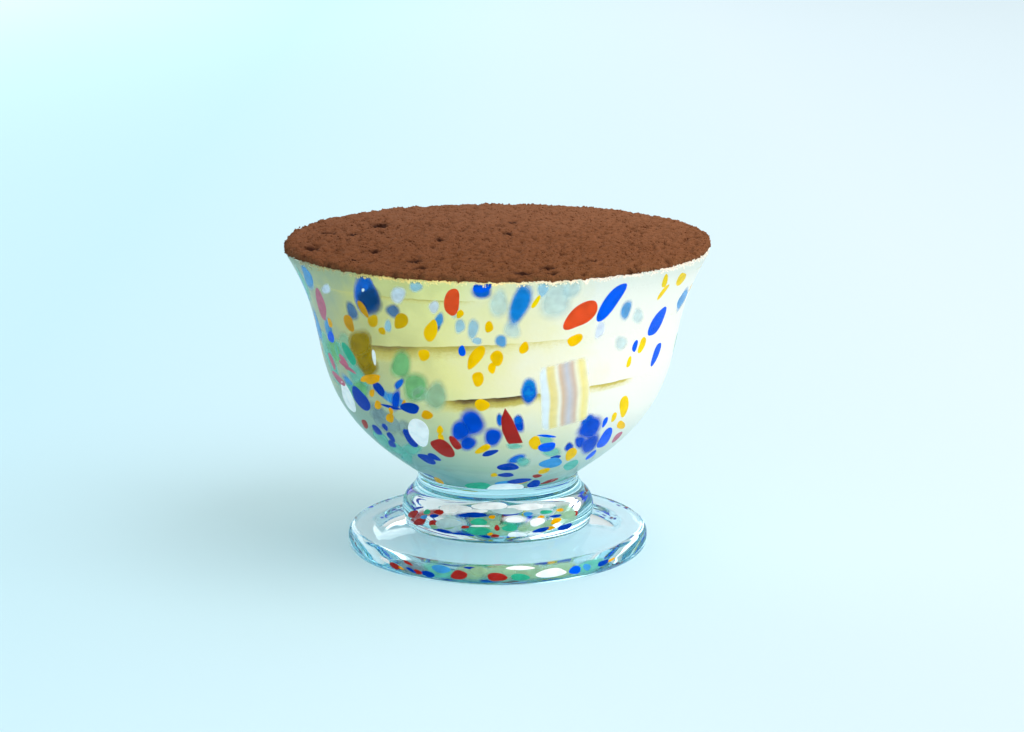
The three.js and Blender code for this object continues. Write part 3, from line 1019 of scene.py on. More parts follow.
# Depths in the glass, halves of thicknesses, and how many sides an outline has. A section runs from
# a fleck's middle outwards: share of its outline, and share of its thickness there.
SHARP_DEPTH = 1.7
SHARP_THICKNESS = 0.05
SHARP_SIDES = 26
SHARP_SECTION = [(0.0, 1.0), (0.6, 1.0), (0.93, 0.95), (0.985, 0.6)]
SOFT_DEPTH = 2.2
SOFT_THICKNESS = 0.05
SOFT_SIDES = 20
SOFT_SECTION = [(0.0, 1.0), (0.5, 1.0), (0.6, 1.0), (0.7, 1.0), (0.8, 1.0), (0.9, 0.8)]
SOFT_SPREAD = 1.25  # a soft fleck is drawn larger by this, since it fades towards its edge
SOFT_EDGE = 0.48  # share of a soft fleck over which it fades out
DEPTH_STEP = 0.11  # flecks that lie over each other are at one of a few depths
DEPTH_STEPS = 4
MOST_STRETCH = 5.0  # how far round the wall a fleck that is seen edge-on may reach from its middle


class Flecks:
    """Gathers lens-shaped flecks, all of them for one mesh."""

    def __init__(self, depth, thickness, sides, section, spread):
        self.depth = depth
        self.spread = spread
        self.thickness = thickness
        self.sides = sides
        self.section = section
        self.points = []
        self.faces = []
        self.tints = []
        self.covers = []
        self.count = 0

    def add(self, outline, place, tone, cover=1.0):
        """outline is (sides, 2) round the middle, and place(outline, depth) gives its points in space."""
        depth = self.depth + DEPTH_STEP * (self.count % DEPTH_STEPS)
        self.count += 1
        start = sum(len(p) for p in self.points)
        layers = [(place(outline * s, depth - b * self.thickness), s) for s, b in self.section]
        layers.append((place(outline, depth), 1.0))
        layers += [(place(outline * s, depth + b * self.thickness), s) for s, b in reversed(self.section)]
        layers = [(points[:1] if share == 0 else points, share) for points, share in layers]
        offsets = np.cumsum([0] + [len(p) for p, _ in layers])
        for (near, _), (far, _), a, b in zip(layers, layers[1:], offsets, offsets[1:]):
            self.join(start + a, len(near), start + b, len(far))
        for points, share in layers:
            self.points.append(points)
            edge = min(1.0, (1 - share) / SOFT_EDGE)
            both_faces = cover * edge * edge * (3 - 2 * edge)
            self.covers += [1 - math.sqrt(1 - both_faces)] * len(points)
            self.tints += [tone] * len(points)

    def join(self, a, near, b, far):
        """Faces between two rings that start at points a and b. A ring of one point is a middle."""
        for i in range(self.sides):
            j = (i + 1) % self.sides
            if near == 1:
                self.faces.append((a, b + i, b + j))
            elif far == 1:
                self.faces.append((a + i, b, a + j))
            else:
                self.faces.append((a + i, b + i, b + j, a + j))

    def build(self, name, material):
        layers = {"tint": np.array(self.tints), "cover": np.array(self.covers)}
        piece = solid(name, np.concatenate(self.points), self.faces, material, layers=layers)


def oval(width, length, lean, sides, rng):
    """A hand-made oval, leaning to the right by lean degrees."""
    angle = np.arange(sides) * TURN / sides
    wobble = np.ones(sides)
    for waves, height in ((2, 0.05), (3, 0.06), (4, 0.03)):
        wobble += height * np.sin(waves * angle + rng.uniform(0, TURN))
    x = width / 2 * np.cos(angle) * wobble
    y = length / 2 * np.sin(angle) * wobble
    c, s = math.cos(math.radians(lean)), math.sin(math.radians(lean))
    return np.stack([x * c + y * s, y * c - x * s], axis=1)


def around(surface, azimuth, run):
    """A place() for a fleck on a surface: outlines run round it and up it."""

    def place(outline, depth):
        return surface.points(azimuth + outline[:, 0] / surface.radius(run), run + outline[:, 1], depth)

    return place


def behind(surface, middle):
    """A place() for a fleck that is seen round a pixel: its outline is in pixels from there."""

    def place(outline, depth):
        azimuth, run = surface.seen(middle + outline, depth).T
        home = surface.seen(middle, depth)[0, 0]
        most = np.maximum(np.abs(azimuth - home).max() * surface.radius(run), 0.01)
        azimuth = home + (azimuth - home) * np.minimum(1, MOST_STRETCH / most)
        return surface.points(azimuth, run, depth)

    return place


def photo_fleck(flecks, surface, tone, row, cover, rng):
    """A fleck where the photograph shows it, from a row of one of the tables."""
    pixel, width, length, lean = row
    pixel = np.array(pixel, float)
    azimuth, run = surface.seen(pixel, flecks.depth)[0]
    scale = focal / np.linalg.norm(surface.points(azimuth, run, flecks.depth) - CAMERA_PLACE)
    outline = flecks.spread * oval(width * scale, length * scale, lean, flecks.sides, rng) * (1, -1)
    flecks.add(outline, behind(surface, pixel), TONES[tone], cover)


def shard(flecks):
    """The one piece with straight sides."""
    corners = np.array(SHARD_CORNERS, float)
    middle = corners.mean(axis=0)
    closed = np.concatenate([corners, corners[:1]])
    ends = lengths_along(closed)
    steps = np.arange(flecks.sides) / flecks.sides * ends[-1]
    outline = np.stack([np.interp(steps, ends, closed[:, i]) for i in (0, 1)], axis=1) - middle
    flecks.add(outline[::-1], behind(bowl, middle), TONES["brick"])


HIDDEN_FROM = math.radians(80)  # the photograph shows nothing of the wall beyond this azimuth
HIDDEN_COUNT = 380
HIDDEN_COLLAR_COUNT = 40
HIDDEN_EDGE_COUNT = 32
HIDDEN_SOFT_SHARE = 0.42
HIDDEN_COVER = 0.9
HIDDEN_LEAN = 22  # in degrees, to either side
HIDDEN_LOWEST = 0.02  # share of the wall's run, and the rest of it that they take
HIDDEN_SPAN = 0.94
HIDDEN_CROWDING = 1.25  # over 1, more of them are low down
HIDDEN_TONE_CHANGE = 1.3  # how fast the low flecks' tones give way to the high ones'
HIDDEN_WIDTHS = (1.3, 3.0)
HIDDEN_WIDER_ABOVE = 1.6
HIDDEN_LENGTHS = (1.0, 2.1)  # times the width
BAND_SPAN = (0.1, 0.5)  # where flecks lie in the collar and in the foot's edge, as shares of its run
BAND_WIDTHS = (1.0, 3.6)
BAND_LENGTHS = (0.6, 1.6)
FLOOR_WIDTHS = (2.0, 4.0)
FLOOR_LENGTHS = (3.0, 6.0)
FLOOR_COUNT = 46
FLOOR_DEPTH = 0.3
FLOOR_REACH = 0.97 * NECK_RADIUS
LOW_TONES = (
    ["deep"] * 6 + ["blue"] * 3 + ["white"] * 4 + ["sea"] * 3 + ["brick"] * 4 + ["yellow"] * 3
    + ["sky"] * 2
)
HIGH_TONES = (
    ["yellow"] * 6 + ["blue"] * 4 + ["sky"] * 2 + ["orange"] * 2
    + ["haze", "lilac", "green", "pink", "amber"]
)


def scatter_hidden(sharp, soft, rng):
    """Flecks round the back, like those in front: small and close low down, larger and fewer above."""
    for _ in range(HIDDEN_COUNT):
        azimuth = rng.uniform(HIDDEN_FROM, TURN - HIDDEN_FROM)
        share = rng.random() ** HIDDEN_CROWDING
        run = wall_run * (HIDDEN_LOWEST + HIDDEN_SPAN * share)
        tone = rng.choice(LOW_TONES if rng.random() > share * HIDDEN_TONE_CHANGE else HIGH_TONES)
        width = rng.uniform(*HIDDEN_WIDTHS) + HIDDEN_WIDER_ABOVE * share * rng.random()
        length = width * rng.uniform(*HIDDEN_LENGTHS)
        lean = rng.normal(0, HIDDEN_LEAN)
        flecks = soft if rng.random() < HIDDEN_SOFT_SHARE else sharp
        cover = SOFT_COVER.get(tone, HIDDEN_COVER)
        outline = oval(width, length, lean, flecks.sides, rng)
        flecks.add(outline, around(bowl, azimuth, run), TONES[tone], cover)
    for surface, count in ((collar, HIDDEN_COLLAR_COUNT), (foot_edge, HIDDEN_EDGE_COUNT)):
        for _ in range(count):
            azimuth = rng.uniform(HIDDEN_FROM, TURN - HIDDEN_FROM)
            run = surface.run[-1] * rng.uniform(*BAND_SPAN)
            outline = oval(rng.uniform(*BAND_WIDTHS), rng.uniform(*BAND_LENGTHS), 0, sharp.sides, rng)
            sharp.add(outline, around(surface, azimuth, run), TONES[rng.choice(LOW_TONES)])


def scatter_floor(sharp, rng):
    """Flecks in the glass under the bowl's floor, which the stem and the foot mirror."""
    for _ in range(FLOOR_COUNT):
        azimuth = rng.uniform(0, TURN)
        radius = FLOOR_REACH * math.sqrt(rng.random())
        tone = rng.choice(LOW_TONES)
        width = rng.uniform(*FLOOR_WIDTHS)
        length = rng.uniform(*FLOOR_LENGTHS)
        outline = oval(width, length, rng.uniform(0, 180), sharp.sides, rng)
        centre = np.array([radius * math.sin(azimuth), -radius * math.cos(azimuth)])

        def place(shrunk, depth, centre=centre):
            spot = centre + shrunk
            r = np.hypot(spot[:, 0], spot[:, 1])
            z = np.interp(r, inside[:, 0], inside[:, 1]) - FLOOR_DEPTH - (depth - SHARP_DEPTH)
            return np.column_stack([spot, z])

        sharp.add(outline, place, TONES[tone])


# A slice of striped cane, by the pixels of its corners, and its stripes from left to right.
CANE_CORNERS = {
    "top_left": (538, 368), "top_right": (588, 355), "bottom_left": (541, 432), "bottom_right": (589, 419),
}
CANE_STRIPES = [
    (0.00, srgb(232, 242, 248)), (0.14, srgb(232, 242, 246)), (0.19, srgb(244, 222, 140)),
    (0.30, srgb(244, 226, 160)), (0.36, srgb(250, 246, 226)), (0.43, srgb(222, 190, 160)),
    (0.56, srgb(206, 204, 212)), (0.68, srgb(220, 192, 170)), (0.75, srgb(250, 244, 214)),
    (0.84, srgb(250, 232, 150)), (0.93, srgb(250, 236, 170)), (1.00, srgb(250, 250, 248)),
]
CANE_DEPTH = 2.0
CANE_THICKNESS = 0.2
CANE_COLUMNS = 48
CANE_ROWS = 24
CANE_COVER = 0.92
CANE_SQUARENESS = 8
CANE_FADE = 1.6  # its cover falls off over the edge that its thickness has, but later
CANE_SWAY = 0.015


def make_cane():
    """A closed pad on the wall with upright stripes."""
    spots = {name: bowl.seen(pixel, CANE_DEPTH)[0] for name, pixel in CANE_CORNERS.items()}
    u = np.linspace(0, 1, CANE_COLUMNS + 1)[:, None]
    v = np.linspace(0, 1, CANE_ROWS + 1)[None, :]
    low = spots["bottom_left"] * (1 - u[..., None]) + spots["bottom_right"] * u[..., None]
    high = spots["top_left"] * (1 - u[..., None]) + spots["top_right"] * u[..., None]
    chart = low * (1 - v[..., None]) + high * v[..., None]
    edge = np.clip(1 - (2 * u - 1) ** CANE_SQUARENESS - (2 * v - 1) ** CANE_SQUARENESS, 0, 1)
    bulge = CANE_THICKNESS / 2 * np.sqrt(edge)
    front = bowl.points(chart[..., 0], chart[..., 1], CANE_DEPTH - bulge)
    back = bowl.points(chart[..., 0], chart[..., 1], CANE_DEPTH + bulge)
    places = np.array([stop for stop, _ in CANE_STRIPES])
    tones = np.array([tone for _, tone in CANE_STRIPES])
    blend = u + CANE_SWAY * np.sin(v * 9)
    tint = np.stack([np.interp(blend, places, tones[:, i]) for i in range(4)], axis=-1)
    cover = np.clip(edge * CANE_FADE, 0, 1) * CANE_COVER
    count = (CANE_COLUMNS + 1) * (CANE_ROWS + 1)

    def index(i, j, side):
        rim = i in (0, CANE_COLUMNS) or j in (0, CANE_ROWS)
        return i * (CANE_ROWS + 1) + j + (0 if rim else side * count)

    faces = []
    for i in range(CANE_COLUMNS):
        for j in range(CANE_ROWS):
            square = [(i, j), (i + 1, j), (i + 1, j + 1), (i, j + 1)]
            faces.append([index(a, b, 0) for a, b in square])
            faces.append([index(a, b, 1) for a, b in reversed(square)])
    layers = {
        "tint": np.concatenate([tint.reshape(-1, 4)] * 2),
        "cover": np.concatenate([cover.ravel()] * 2),
    }
    points = np.concatenate([front.reshape(-1, 3), back.reshape(-1, 3)])
    piece = solid("striped_cane", points, faces, cane_material, layers=layers)
    drop_loose(piece)


def drop_loose(piece):
    """Deletes points that no face uses."""
    work = bmesh.new()
    work.from_mesh(piece.data)
    bmesh.ops.delete(work, geom=[v for v in work.verts if not v.link_faces], context="VERTS")
    work.to_mesh(piece.data)
    work.free()


def photo_flecks(flecks, surface, table, rng, usual_cover=1.0, covers=None):
    """The flecks of a table. covers holds the tones whose cover isn't the usual one."""
    for tone, rows in table.items():
        for row in rows:
            photo_fleck(flecks, surface, tone, row, (covers or {}).get(tone, usual_cover), rng)


def make_flecks():
    rng = np.random.default_rng(5)
    sharp = Flecks(SHARP_DEPTH, SHARP_THICKNESS, SHARP_SIDES, SHARP_SECTION, 1.0)
    soft = Flecks(SOFT_DEPTH, SOFT_THICKNESS, SOFT_SIDES, SOFT_SECTION, SOFT_SPREAD)
    photo_flecks(sharp, bowl, SHARP_FLECKS, rng)
    photo_flecks(soft, collar, COLLAR_PATCHES_AND_PAINTED_LIGHT, rng, PATCH_COVER)
    photo_flecks(soft, foot_edge, EDGE_PATCHES_AND_PAINTED_SHADE, rng, PATCH_COVER)
    photo_flecks(sharp, collar, COLLAR_FLECKS, rng)
    photo_flecks(sharp, foot_edge, EDGE_FLECKS, rng)
    photo_flecks(soft, bowl, SOFT_FLECKS, rng, covers=SOFT_COVER)
    shard(sharp)
    scatter_hidden(sharp, soft, rng)
    scatter_floor(sharp, rng)
    sharp.build("flecks_sharp", sharp_material)
    soft.build("flecks_soft", soft_material)


# ---------------------------------------------------------------- cocoa

COCOA_THICKNESS = 0.8
COCOA_MOUND = 0.45
COCOA_RADIUS = 52.3
COCOA_DRAWN_IN = 0.5  # its edge stays further in along the front
COCOA_UNDERSIDE = CUP_HEIGHT - 0.1
COCOA_ROWS = 150
COCOA_SEGMENTS = 640
COCOA_UNDER_SHARES = (0.0, 0.5, 0.9, 1.0)  # rings of points on its underside
COCOA_LIP_SHARES = (0.35, 0.7)
LUMP_AZIMUTH = 1.5 * math.pi  # the powder caked over the lip at the left
LUMP_HALF_ANGLE = 0.62
LIP_ANGLE = math.radians(58)  # where on the lip the powder ends, as an angle up from level
LUMP_LIP_ANGLE = math.radians(-4)
UNDER_SURFACE = 0.08  # how far inside the lip's surface the powder's edge ends
THINNEST_COCOA = 0.3
LARGE_CLUMP = 2.6  # spacing of the powder's clumps
SMALL_CLUMP = 1.4
CLUMP_HEIGHT = 2.3
CLUMP_LEVEL = 0.68  # where a clump is level with the powder, from a crease (0) to its middle (1)
CREASE_LEVEL = 0.74  # and where a crease's shade begins
CREASE_SHADE = 2.2
CREASE_DARKEST = 0.8
PIT_SHADE = 1.5
FLATTER_BACK = 0.55  # share of its relief that the powder lacks at the back
PALER_BACK = 0.5  # share of the creases' shade that it lacks there
SMOOTHER_BACK = 0.75  # share of its edge's raggedness that it lacks there
# How ragged it is round the cup: height, bumps to a radian and seed.
EDGE_TORN = [(0.2, 24, 31), (0.2, 80, 32)]
END_TORN = [(0.16, 60, 35), (0.2, 150, 36)]
ROLL_LUMPS = [(0.16, 60, 2.4, 33), (0.12, 130, 5, 34)]  # and, before the seed, bumps over the roll
SHOULDER = 1.1  # the powder's top comes down to its edge over this far
LUMP_SHOULDER = 1.9
ROLL_ROWS = 14
PITS = [  # pixel, width and length away from the camera in millimetres, depth
    ((380, 227), 4.2, 6.6, 0.9), ((328, 235), 3.4, 5.0, 0.8), ((312, 250), 3.2, 6.0, 0.9),
    ((375, 253), 2.4, 4.4, 0.7), ((414, 262), 3.2, 5.2, 0.8), ((421, 269), 3.0, 3.6, 0.7),
    ((524, 274), 4.4, 4.8, 0.8), ((547, 269), 3.8, 3.4, 0.7), ((551, 274), 3.2, 2.6, 0.6),
    ((353, 236), 2.2, 4.0, 0.5), ((440, 242), 2.0, 4.0, 0.4), ((512, 224), 1.8, 4.0, 0.4),
    ((355, 262), 1.8, 3.0, 0.4), ((508, 236), 1.6, 3.6, 0.4), ((592, 262), 2.0, 3.4, 0.4),
]


def pits(x, y):
    """How far into a pit of the powder a point is, from 0 to 1, and how deep the pit is there."""
    inside_pit = np.zeros(np.shape(x))
    sunk = np.zeros(np.shape(x))
    for pixel, across, along, depth in PITS:
        centre = on_level(pixel, CUP_HEIGHT + COCOA_THICKNESS)
        away = ((x - centre[0]) / across * 2) ** 2 + ((y - centre[1]) / along * 2) ** 2
        share = np.exp(-(away**1.5))
        inside_pit = np.maximum(inside_pit, share)
        sunk = np.maximum(sunk, share * depth)
    return inside_pit, sunk


def nearest_seed(x, y, spacing, seed):
    """How far the nearest of scattered seeds is, in spacings. There is one in each square."""
    scattered = np.random.default_rng(seed).random((NOISE_SIZE, NOISE_SIZE, 2))
    x = x / spacing
    y = y / spacing
    column = np.floor(x).astype(int)
    row = np.floor(y).astype(int)
    nearest = np.full(np.shape(x), 2.0)
    for right in (-1, 0, 1):
        for up in (-1, 0, 1):
            spot = scattered[(column + right) % NOISE_SIZE, (row + up) % NOISE_SIZE]
            away = np.hypot(column + right + spot[..., 0] - x, row + up + spot[..., 1] - y)
            nearest = np.minimum(nearest, away)
    return nearest


def clumps(x, y):
    """Lumps of powder with creases between them, from 0 in a crease to 1."""
    a = 0.8 * x + 0.6 * y + 0.7 * noise((x + y) / 3, (x - y) / 3, 25)
    b = 0.8 * y - 0.6 * x + 0.7 * noise((x - y) / 3, (x + y) / 3, 26)
    large = 1 - nearest_seed(a, b, LARGE_CLUMP, 27) ** 2
    small = 1 - nearest_seed(b, a, SMALL_CLUMP, 28) ** 2
    return np.clip(0.5 * large + 0.5 * small, 0, 1)


def painted_hollow_shade_share(x, y):
    """How much painted shade a point of the powder gets in a pit or a crease, from 0 to 1.

    Creases count for less towards the back.
    """
    creases = np.clip(CREASE_SHADE * (CREASE_LEVEL - clumps(x, y)), 0, CREASE_DARKEST)
    creases = creases * (1 - PALER_BACK * np.clip(y / COCOA_RADIUS, 0, 1))
    return np.clip(PIT_SHADE * pits(x, y)[0] + creases, 0, 1)


def cocoa_top(x, y):
    """Height of the powder over a point."""
    mound = COCOA_MOUND * (0.5 + 0.5 * y / COCOA_RADIUS)
    swell = 0.22 * noise(x / 9, y / 9, 21) + 0.14 * noise((x + y) / 5, (x - y) / 5, 22)
    lumps = CLUMP_HEIGHT * (clumps(x, y) - CLUMP_LEVEL)
    calm = 1 - FLATTER_BACK * np.clip(y / COCOA_RADIUS, 0, 1)
    height = COCOA_THICKNESS + mound + swell * calm + lumps * calm - pits(x, y)[1]
    return COCOA_UNDERSIDE + np.maximum(height, THINNEST_COCOA)


def lump_share(azimuth):
    """How much of the lump an azimuth has, from 0 to 1."""
    from_lump = np.abs(azimuth % TURN - LUMP_AZIMUTH) / LUMP_HALF_ANGLE
    return np.where(from_lump < 1, (1 + np.cos(math.pi * np.minimum(from_lump, 1))) / 2, 0)


def frontness(azimuth):
    """How ragged the powder's edge is: less towards the back."""
    return 1 - SMOOTHER_BACK * np.clip(-np.cos(azimuth), 0, 1)


def cocoa_edge(azimuth):
    """How far out the powder reaches at an azimuth."""
    torn = ragged(azimuth, EDGE_TORN) * frontness(azimuth)
    drawn_in = COCOA_DRAWN_IN * np.clip(np.cos(azimuth), 0, 1)
    return COCOA_RADIUS - drawn_in + torn


def powder_end(azimuth):
    """Where on the lip the powder ends, as an angle up from level."""
    torn = ragged(azimuth, END_TORN)
    return LIP_ANGLE + torn + (LUMP_LIP_ANGLE - LIP_ANGLE) * lump_share(azimuth)


def lip_point(angle, over):
    """A point at an angle up from level round the lip, and so far over its surface."""
    return lip_centre + (WALL / 2 + over) * np.stack([np.cos(angle), np.sin(angle)], axis=1)


def lip_meeting(azimuth, share):
    """Points just inside the lip's surface, from its top (0) to where the powder ends on it (1)."""
    angle = math.pi / 2 + (powder_end(azimuth) - math.pi / 2) * share
    return lip_point(angle, -UNDER_SURFACE)


def top_point(radius, azimuth):
    """A profile's point on the powder's top."""
    return np.stack([radius, cocoa_top(radius * np.sin(azimuth), -radius * np.cos(azimuth))], axis=1)


def cocoa_roll(azimuth):
    """The powder's rounded edge: from the lip outwards and up to where its top is level."""
    edge = cocoa_edge(azimuth)
    start = lip_meeting(azimuth, 1.0)
    shoulder = edge - SHOULDER - (LUMP_SHOULDER - SHOULDER) * lump_share(azimuth)
    end = top_point(shoulder, azimuth)
    handle = (edge - (start[:, 0] + end[:, 0]) / 8) / 0.75  # so that the curve's middle is at the edge
    low = np.stack([handle, start[:, 1] - 0.1], axis=1)
    high = np.stack([handle, end[:, 1]], axis=1)
    rows = []
    for i in range(ROLL_ROWS + 1):
        t = i / ROLL_ROWS
        row = (1 - t) ** 3 * start + 3 * (1 - t) ** 2 * t * low + 3 * (1 - t) * t**2 * high + t**3 * end
        lumpy = sum(
            height * noise(azimuth * bumps, 0 * azimuth + t * over, seed)
            for height, bumps, over, seed in ROLL_LUMPS
        )
        row[:, 0] += lumpy * frontness(azimuth) * math.sin(math.pi * t)
        rows.append(row)
    return np.stack(rows, axis=1)


def make_cocoa():
    azimuth = np.arange(COCOA_SEGMENTS) * TURN / COCOA_SEGMENTS
    level = np.full(COCOA_SEGMENTS, COCOA_UNDERSIDE)
    under = [np.stack([lip_centre[0] * share + 0 * level, level], axis=1) for share in COCOA_UNDER_SHARES]
    on_lip = [lip_meeting(azimuth, share) for share in COCOA_LIP_SHARES]
    roll = cocoa_roll(azimuth)
    inwards = [1 - i / COCOA_ROWS for i in range(1, COCOA_ROWS + 1)]
    top = [top_point(roll[:, -1, 0] * share, azimuth) for share in inwards]
    profiles = np.concatenate([np.stack(under + on_lip, axis=1), roll, np.stack(top, axis=1)], axis=1)
    points, faces = lathe(level_poles(profiles))
    # Painted shade for the powder's pits and creases.
    painted_hollow_shade = painted_hollow_shade_share(points[:, 0], points[:, 1])
    piece = solid("cocoa_layer", points, faces, cocoa_material, layers={"painted_hollow_shade": painted_hollow_shade})
    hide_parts("cocoa")


def icosahedron():
    """Points at a distance of 1, and faces that look outwards."""
    golden = (1 + math.sqrt(5)) / 2
    points = [(-1, golden, 0), (1, golden, 0), (-1, -golden, 0), (1, -golden, 0)]
    points += [(z, x, y) for x, y, z in points[:4]] + [(y, z, x) for x, y, z in points[:4]]
    points = np.array(points) / math.hypot(1, golden)
    near = np.linalg.norm(points[:, None] - points[None], axis=2)
    side = near[near > 0.1].min() * 1.01
    faces = []
    for a in range(12):
        for b in range(a + 1, 12):
            for c in range(b + 1, 12):
                if max(near[a, b], near[b, c], near[a, c]) < side:
                    turn = np.dot(np.cross(points[b] - points[a], points[c] - points[a]), points[a])
                    faces.append((a, b, c) if turn > 0 else (a, c, b))
    return points, np.array(faces)


def crumbs(name, centres, sizes, material, rng, painted_hollow_shade=None):
    """Many small lumps as one mesh. The painted shade from pits and creases is given as one value for each
    lump.
    """
    shape, faces = icosahedron()
    jitter = 1 + rng.uniform(-0.28, 0.28, (len(centres), len(shape), 1))
    squash = rng.uniform(0.6, 1.15, (len(centres), 1, 3))
    points = centres[:, None] + shape[None] * jitter * squash * sizes[:, None, None]
    shift = np.arange(len(centres))[:, None, None] * len(shape)
    all_faces = (faces[None] + shift).reshape(-1, 3).tolist()
    layers = None if painted_hollow_shade is None else {"painted_hollow_shade": np.repeat(painted_hollow_shade, len(shape))}
    return solid(name, points.reshape(-1, 3), all_faces, material, smooth=False, layers=layers)


GRAIN_COUNT = 5200
GRAIN_SMALLEST = 0.09  # half of its width
GRAIN_SPREAD = 0.3  # how much larger the largest is; most are small
EDGE_GRAIN_COUNT = 4200
EDGE_GRAIN_SIZES = (0.08, 0.24)
GRAIN_SHOWS = 0.2  # share of its size by which a grain's middle is over the powder
CREAM_BIT_COUNT = 3600
CREAM_BIT_SIZES = (0.08, 0.26)
CREAM_BIT_OVER = 0.12
CREAM_RIM_SHOWS = 0.45  # how far round the lip it comes out from under the powder, in radians
CREAM_TORN = [(0.18, 34, 51), (0.16, 90, 52)]
CREAM_OVER = 0.14  # its face over the lip's surface, and its back below that
CREAM_BACK = -0.1
CREAM_END_BACK = -0.06
CREAM_SECTION = [  # shares of the way round the lip, and places over its surface
    (0.0, CREAM_BACK), (0.4, CREAM_BACK), (0.8, CREAM_BACK), (1.0, CREAM_END_BACK),
    (0.93, CREAM_OVER), (0.8, CREAM_OVER), (0.4, CREAM_OVER), (0.0, CREAM_OVER),
]


def make_grains():
    """Loose grains on the powder's top, and then round its edge."""
    rng = np.random.default_rng(8)
    radius = COCOA_RADIUS * np.sqrt(rng.random(GRAIN_COUNT)) * 0.985
    azimuth = rng.uniform(0, TURN, GRAIN_COUNT)
    x, y = radius * np.sin(azimuth), -radius * np.cos(azimuth)
    sizes = GRAIN_SMALLEST + GRAIN_SPREAD * rng.random(GRAIN_COUNT) ** 3
    inner = np.stack([x, y, cocoa_top(x, y) + sizes * GRAIN_SHOWS], axis=1)

    azimuth = rng.uniform(0, TURN, EDGE_GRAIN_COUNT)
    edge_sizes = rng.uniform(*EDGE_GRAIN_SIZES, EDGE_GRAIN_COUNT)
    rolls = cocoa_roll(azimuth)
    row = rng.integers(1, ROLL_ROWS + 1, EDGE_GRAIN_COUNT)
    spot = rolls[np.arange(EDGE_GRAIN_COUNT), row]
    outer = round_axis(spot[:, 0] + edge_sizes * GRAIN_SHOWS, azimuth, spot[:, 1])

    centres = np.concatenate([inner, outer])
    all_sizes = np.concatenate([sizes, edge_sizes])
    # Grains take the painted shade of the pits and creases they lie in.
    painted_hollow_shade = 0.9 * painted_hollow_shade_share(centres[:, 0], centres[:, 1])
    piece = crumbs("cocoa_grains", centres, all_sizes, cocoa_material, rng, painted_hollow_shade)


def make_cream_rim():
    """A smear of cream on the lip, which shows as a thin bright ragged line under the powder's edge:
    partly cream, and partly a painted highlight that the glass lip has there.
    """
    azimuth = np.arange(COCOA_SEGMENTS) * TURN / COCOA_SEGMENTS
    torn = ragged(azimuth, CREAM_TORN)
    last = powder_end(azimuth) - CREAM_RIM_SHOWS - torn + 0.9 * lump_share(azimuth)
    first = math.pi / 2 + 0 * azimuth
    columns = [lip_point(first + (last - first) * share, over) for share, over in CREAM_SECTION]
    piece = solid("cream_rim", *ring(np.stack(columns, axis=1)), cream_material)

    rng = np.random.default_rng(9)
    azimuth = rng.uniform(0, TURN, CREAM_BIT_COUNT)
    sizes = rng.uniform(*CREAM_BIT_SIZES, CREAM_BIT_COUNT)
    below = CREAM_RIM_SHOWS * rng.uniform(-0.5, 1.9, CREAM_BIT_COUNT)
    spot = lip_point(powder_end(azimuth) - below, CREAM_BIT_OVER)
    centres = round_axis(spot[:, 0], azimuth, spot[:, 1])
    keep = lump_share(azimuth) < 0.2
    piece = crumbs("cream_bits", centres[keep], sizes[keep], cream_material, rng)


# ---------------------------------------------------------------- stage


# In metres, as Blender has them: each lamp's place, what it is aimed at, its sides, watts and colour.
LAMPS = {
    "window": ((1.1, -0.6, 1.55), (0, 0, 0.05), (1.5, 1.5), 13.0, (1.0, 0.93, 0.92)),
    "fill": ((0.75, -1.25, 0.3), (0, 0, 0.05), (1.2, 0.8), 2.8, (1.0, 0.90, 0.76)),
    "back": ((-1.2, 1.45, 0.5), (0, 0, 0.02), (1.9, 0.8), 12.0, (1.0, 1.0, 1.0)),
}
FLOOR_SIDE = 6.0  # half of it
UNDER_FOOT = 0.0001  # how far the floor is under the foot
LIGHT_BOUNCES = 32
CLEAR_BOUNCES = 64


def make_camera():
    data = bpy.data.cameras.new("camera")
    data.sensor_width = SENSOR
    data.lens = LENS
    camera = bpy.data.objects.new("camera", data)
    camera.location = CAMERA_PLACE * MM
    camera.rotation_euler = (math.pi / 2 - CAMERA_PITCH, 0, 0)
    bpy.context.scene.collection.objects.link(camera)
    bpy.context.scene.camera = camera


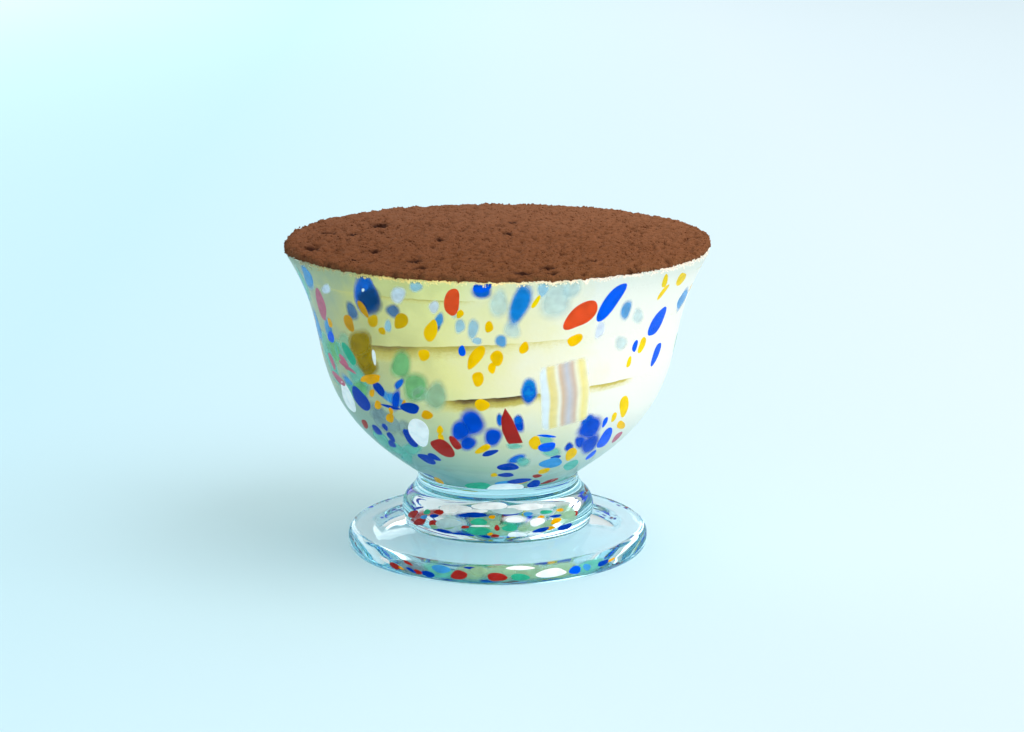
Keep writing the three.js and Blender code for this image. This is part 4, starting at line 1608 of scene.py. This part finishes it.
def make_floor():
    """A pale blue floor, darker and bluer on the left and lighter on the right: painted light, falling off
    away from the lamps on the right.
    """
    mesh = bpy.data.meshes.new("floor")
    corners = [(-FLOOR_SIDE, -FLOOR_SIDE, 0), (FLOOR_SIDE, -FLOOR_SIDE, 0)]
    corners += [(FLOOR_SIDE, FLOOR_SIDE, 0), (-FLOOR_SIDE, FLOOR_SIDE, 0)]
    mesh.from_pydata(corners, [], [(0, 1, 2, 3)])
    material, g = new_material("floor")
    # Painted light: the floor is lighter to the right, towards the lamps.
    pale = g.ramp(g.share(g.place().outputs["X"], low=-0.16, high=0.16), [
        (0.0, (0.50, 0.82, 0.95)), (0.5, (0.60, 0.86, 0.98)), (1.0, (0.66, 0.87, 0.97)),
    ])
    g.end(g.add("BsdfPrincipled", {"Base Color": pale, "Roughness": 0.9, "Specular IOR Level": 0.1}))
    mesh.materials.append(material)
    floor = bpy.data.objects.new("floor", mesh)
    floor.location = (0, 0, -UNDER_FOOT)
    bpy.context.scene.collection.objects.link(floor)


def area_light(name, place, target, size, power, colour):
    data = bpy.data.lights.new(name, "AREA")
    data.shape = "RECTANGLE"
    data.size, data.size_y = size
    data.energy = power
    data.color = colour
    lamp = bpy.data.objects.new(name, data)
    lamp.location = place
    bpy.context.scene.collection.objects.link(lamp)
    away = Vector(target) - lamp.location
    lamp.rotation_euler = away.to_track_quat("-Z", "Y").to_euler()


def make_world():
    """A pale room, brighter on the right."""
    world = bpy.data.worlds.new("room")
    bpy.context.scene.world = world
    world.use_nodes = True
    g = Graph(world.node_tree)
    way = g.node("SeparateXYZ", {0: g.node("TexCoord").outputs["Generated"]})
    room = g.ramp(g.share(way.outputs["X"], low=-1.0, high=1.0), [
        (0.0, (0.52, 0.48, 0.40)), (0.5, (0.92, 0.82, 0.78)), (1.0, (1.36, 1.22, 1.22)),
    ])
    g.node("OutputWorld", {"Surface": g.add("Background", {"Color": room, "Strength": 1.0})})


def make_stage():
    make_camera()
    make_floor()
    make_world()
    for name, lamp in LAMPS.items():
        area_light(name, *lamp)
    bpy.context.scene.view_settings.view_transform = "Standard"
    cycles = bpy.context.scene.cycles
    cycles.max_bounces = LIGHT_BOUNCES
    cycles.transmission_bounces = LIGHT_BOUNCES
    cycles.glossy_bounces = LIGHT_BOUNCES
    cycles.transparent_max_bounces = CLEAR_BOUNCES


make_stage()
make_cup()
for cream_index, cream_name in enumerate(CREAMS):
    make_cream(cream_name, cream_index)
for sponge_name in SPONGES:
    make_sponge(sponge_name)
make_flecks()
make_cane()
make_cocoa()
make_grains()
make_cream_rim()
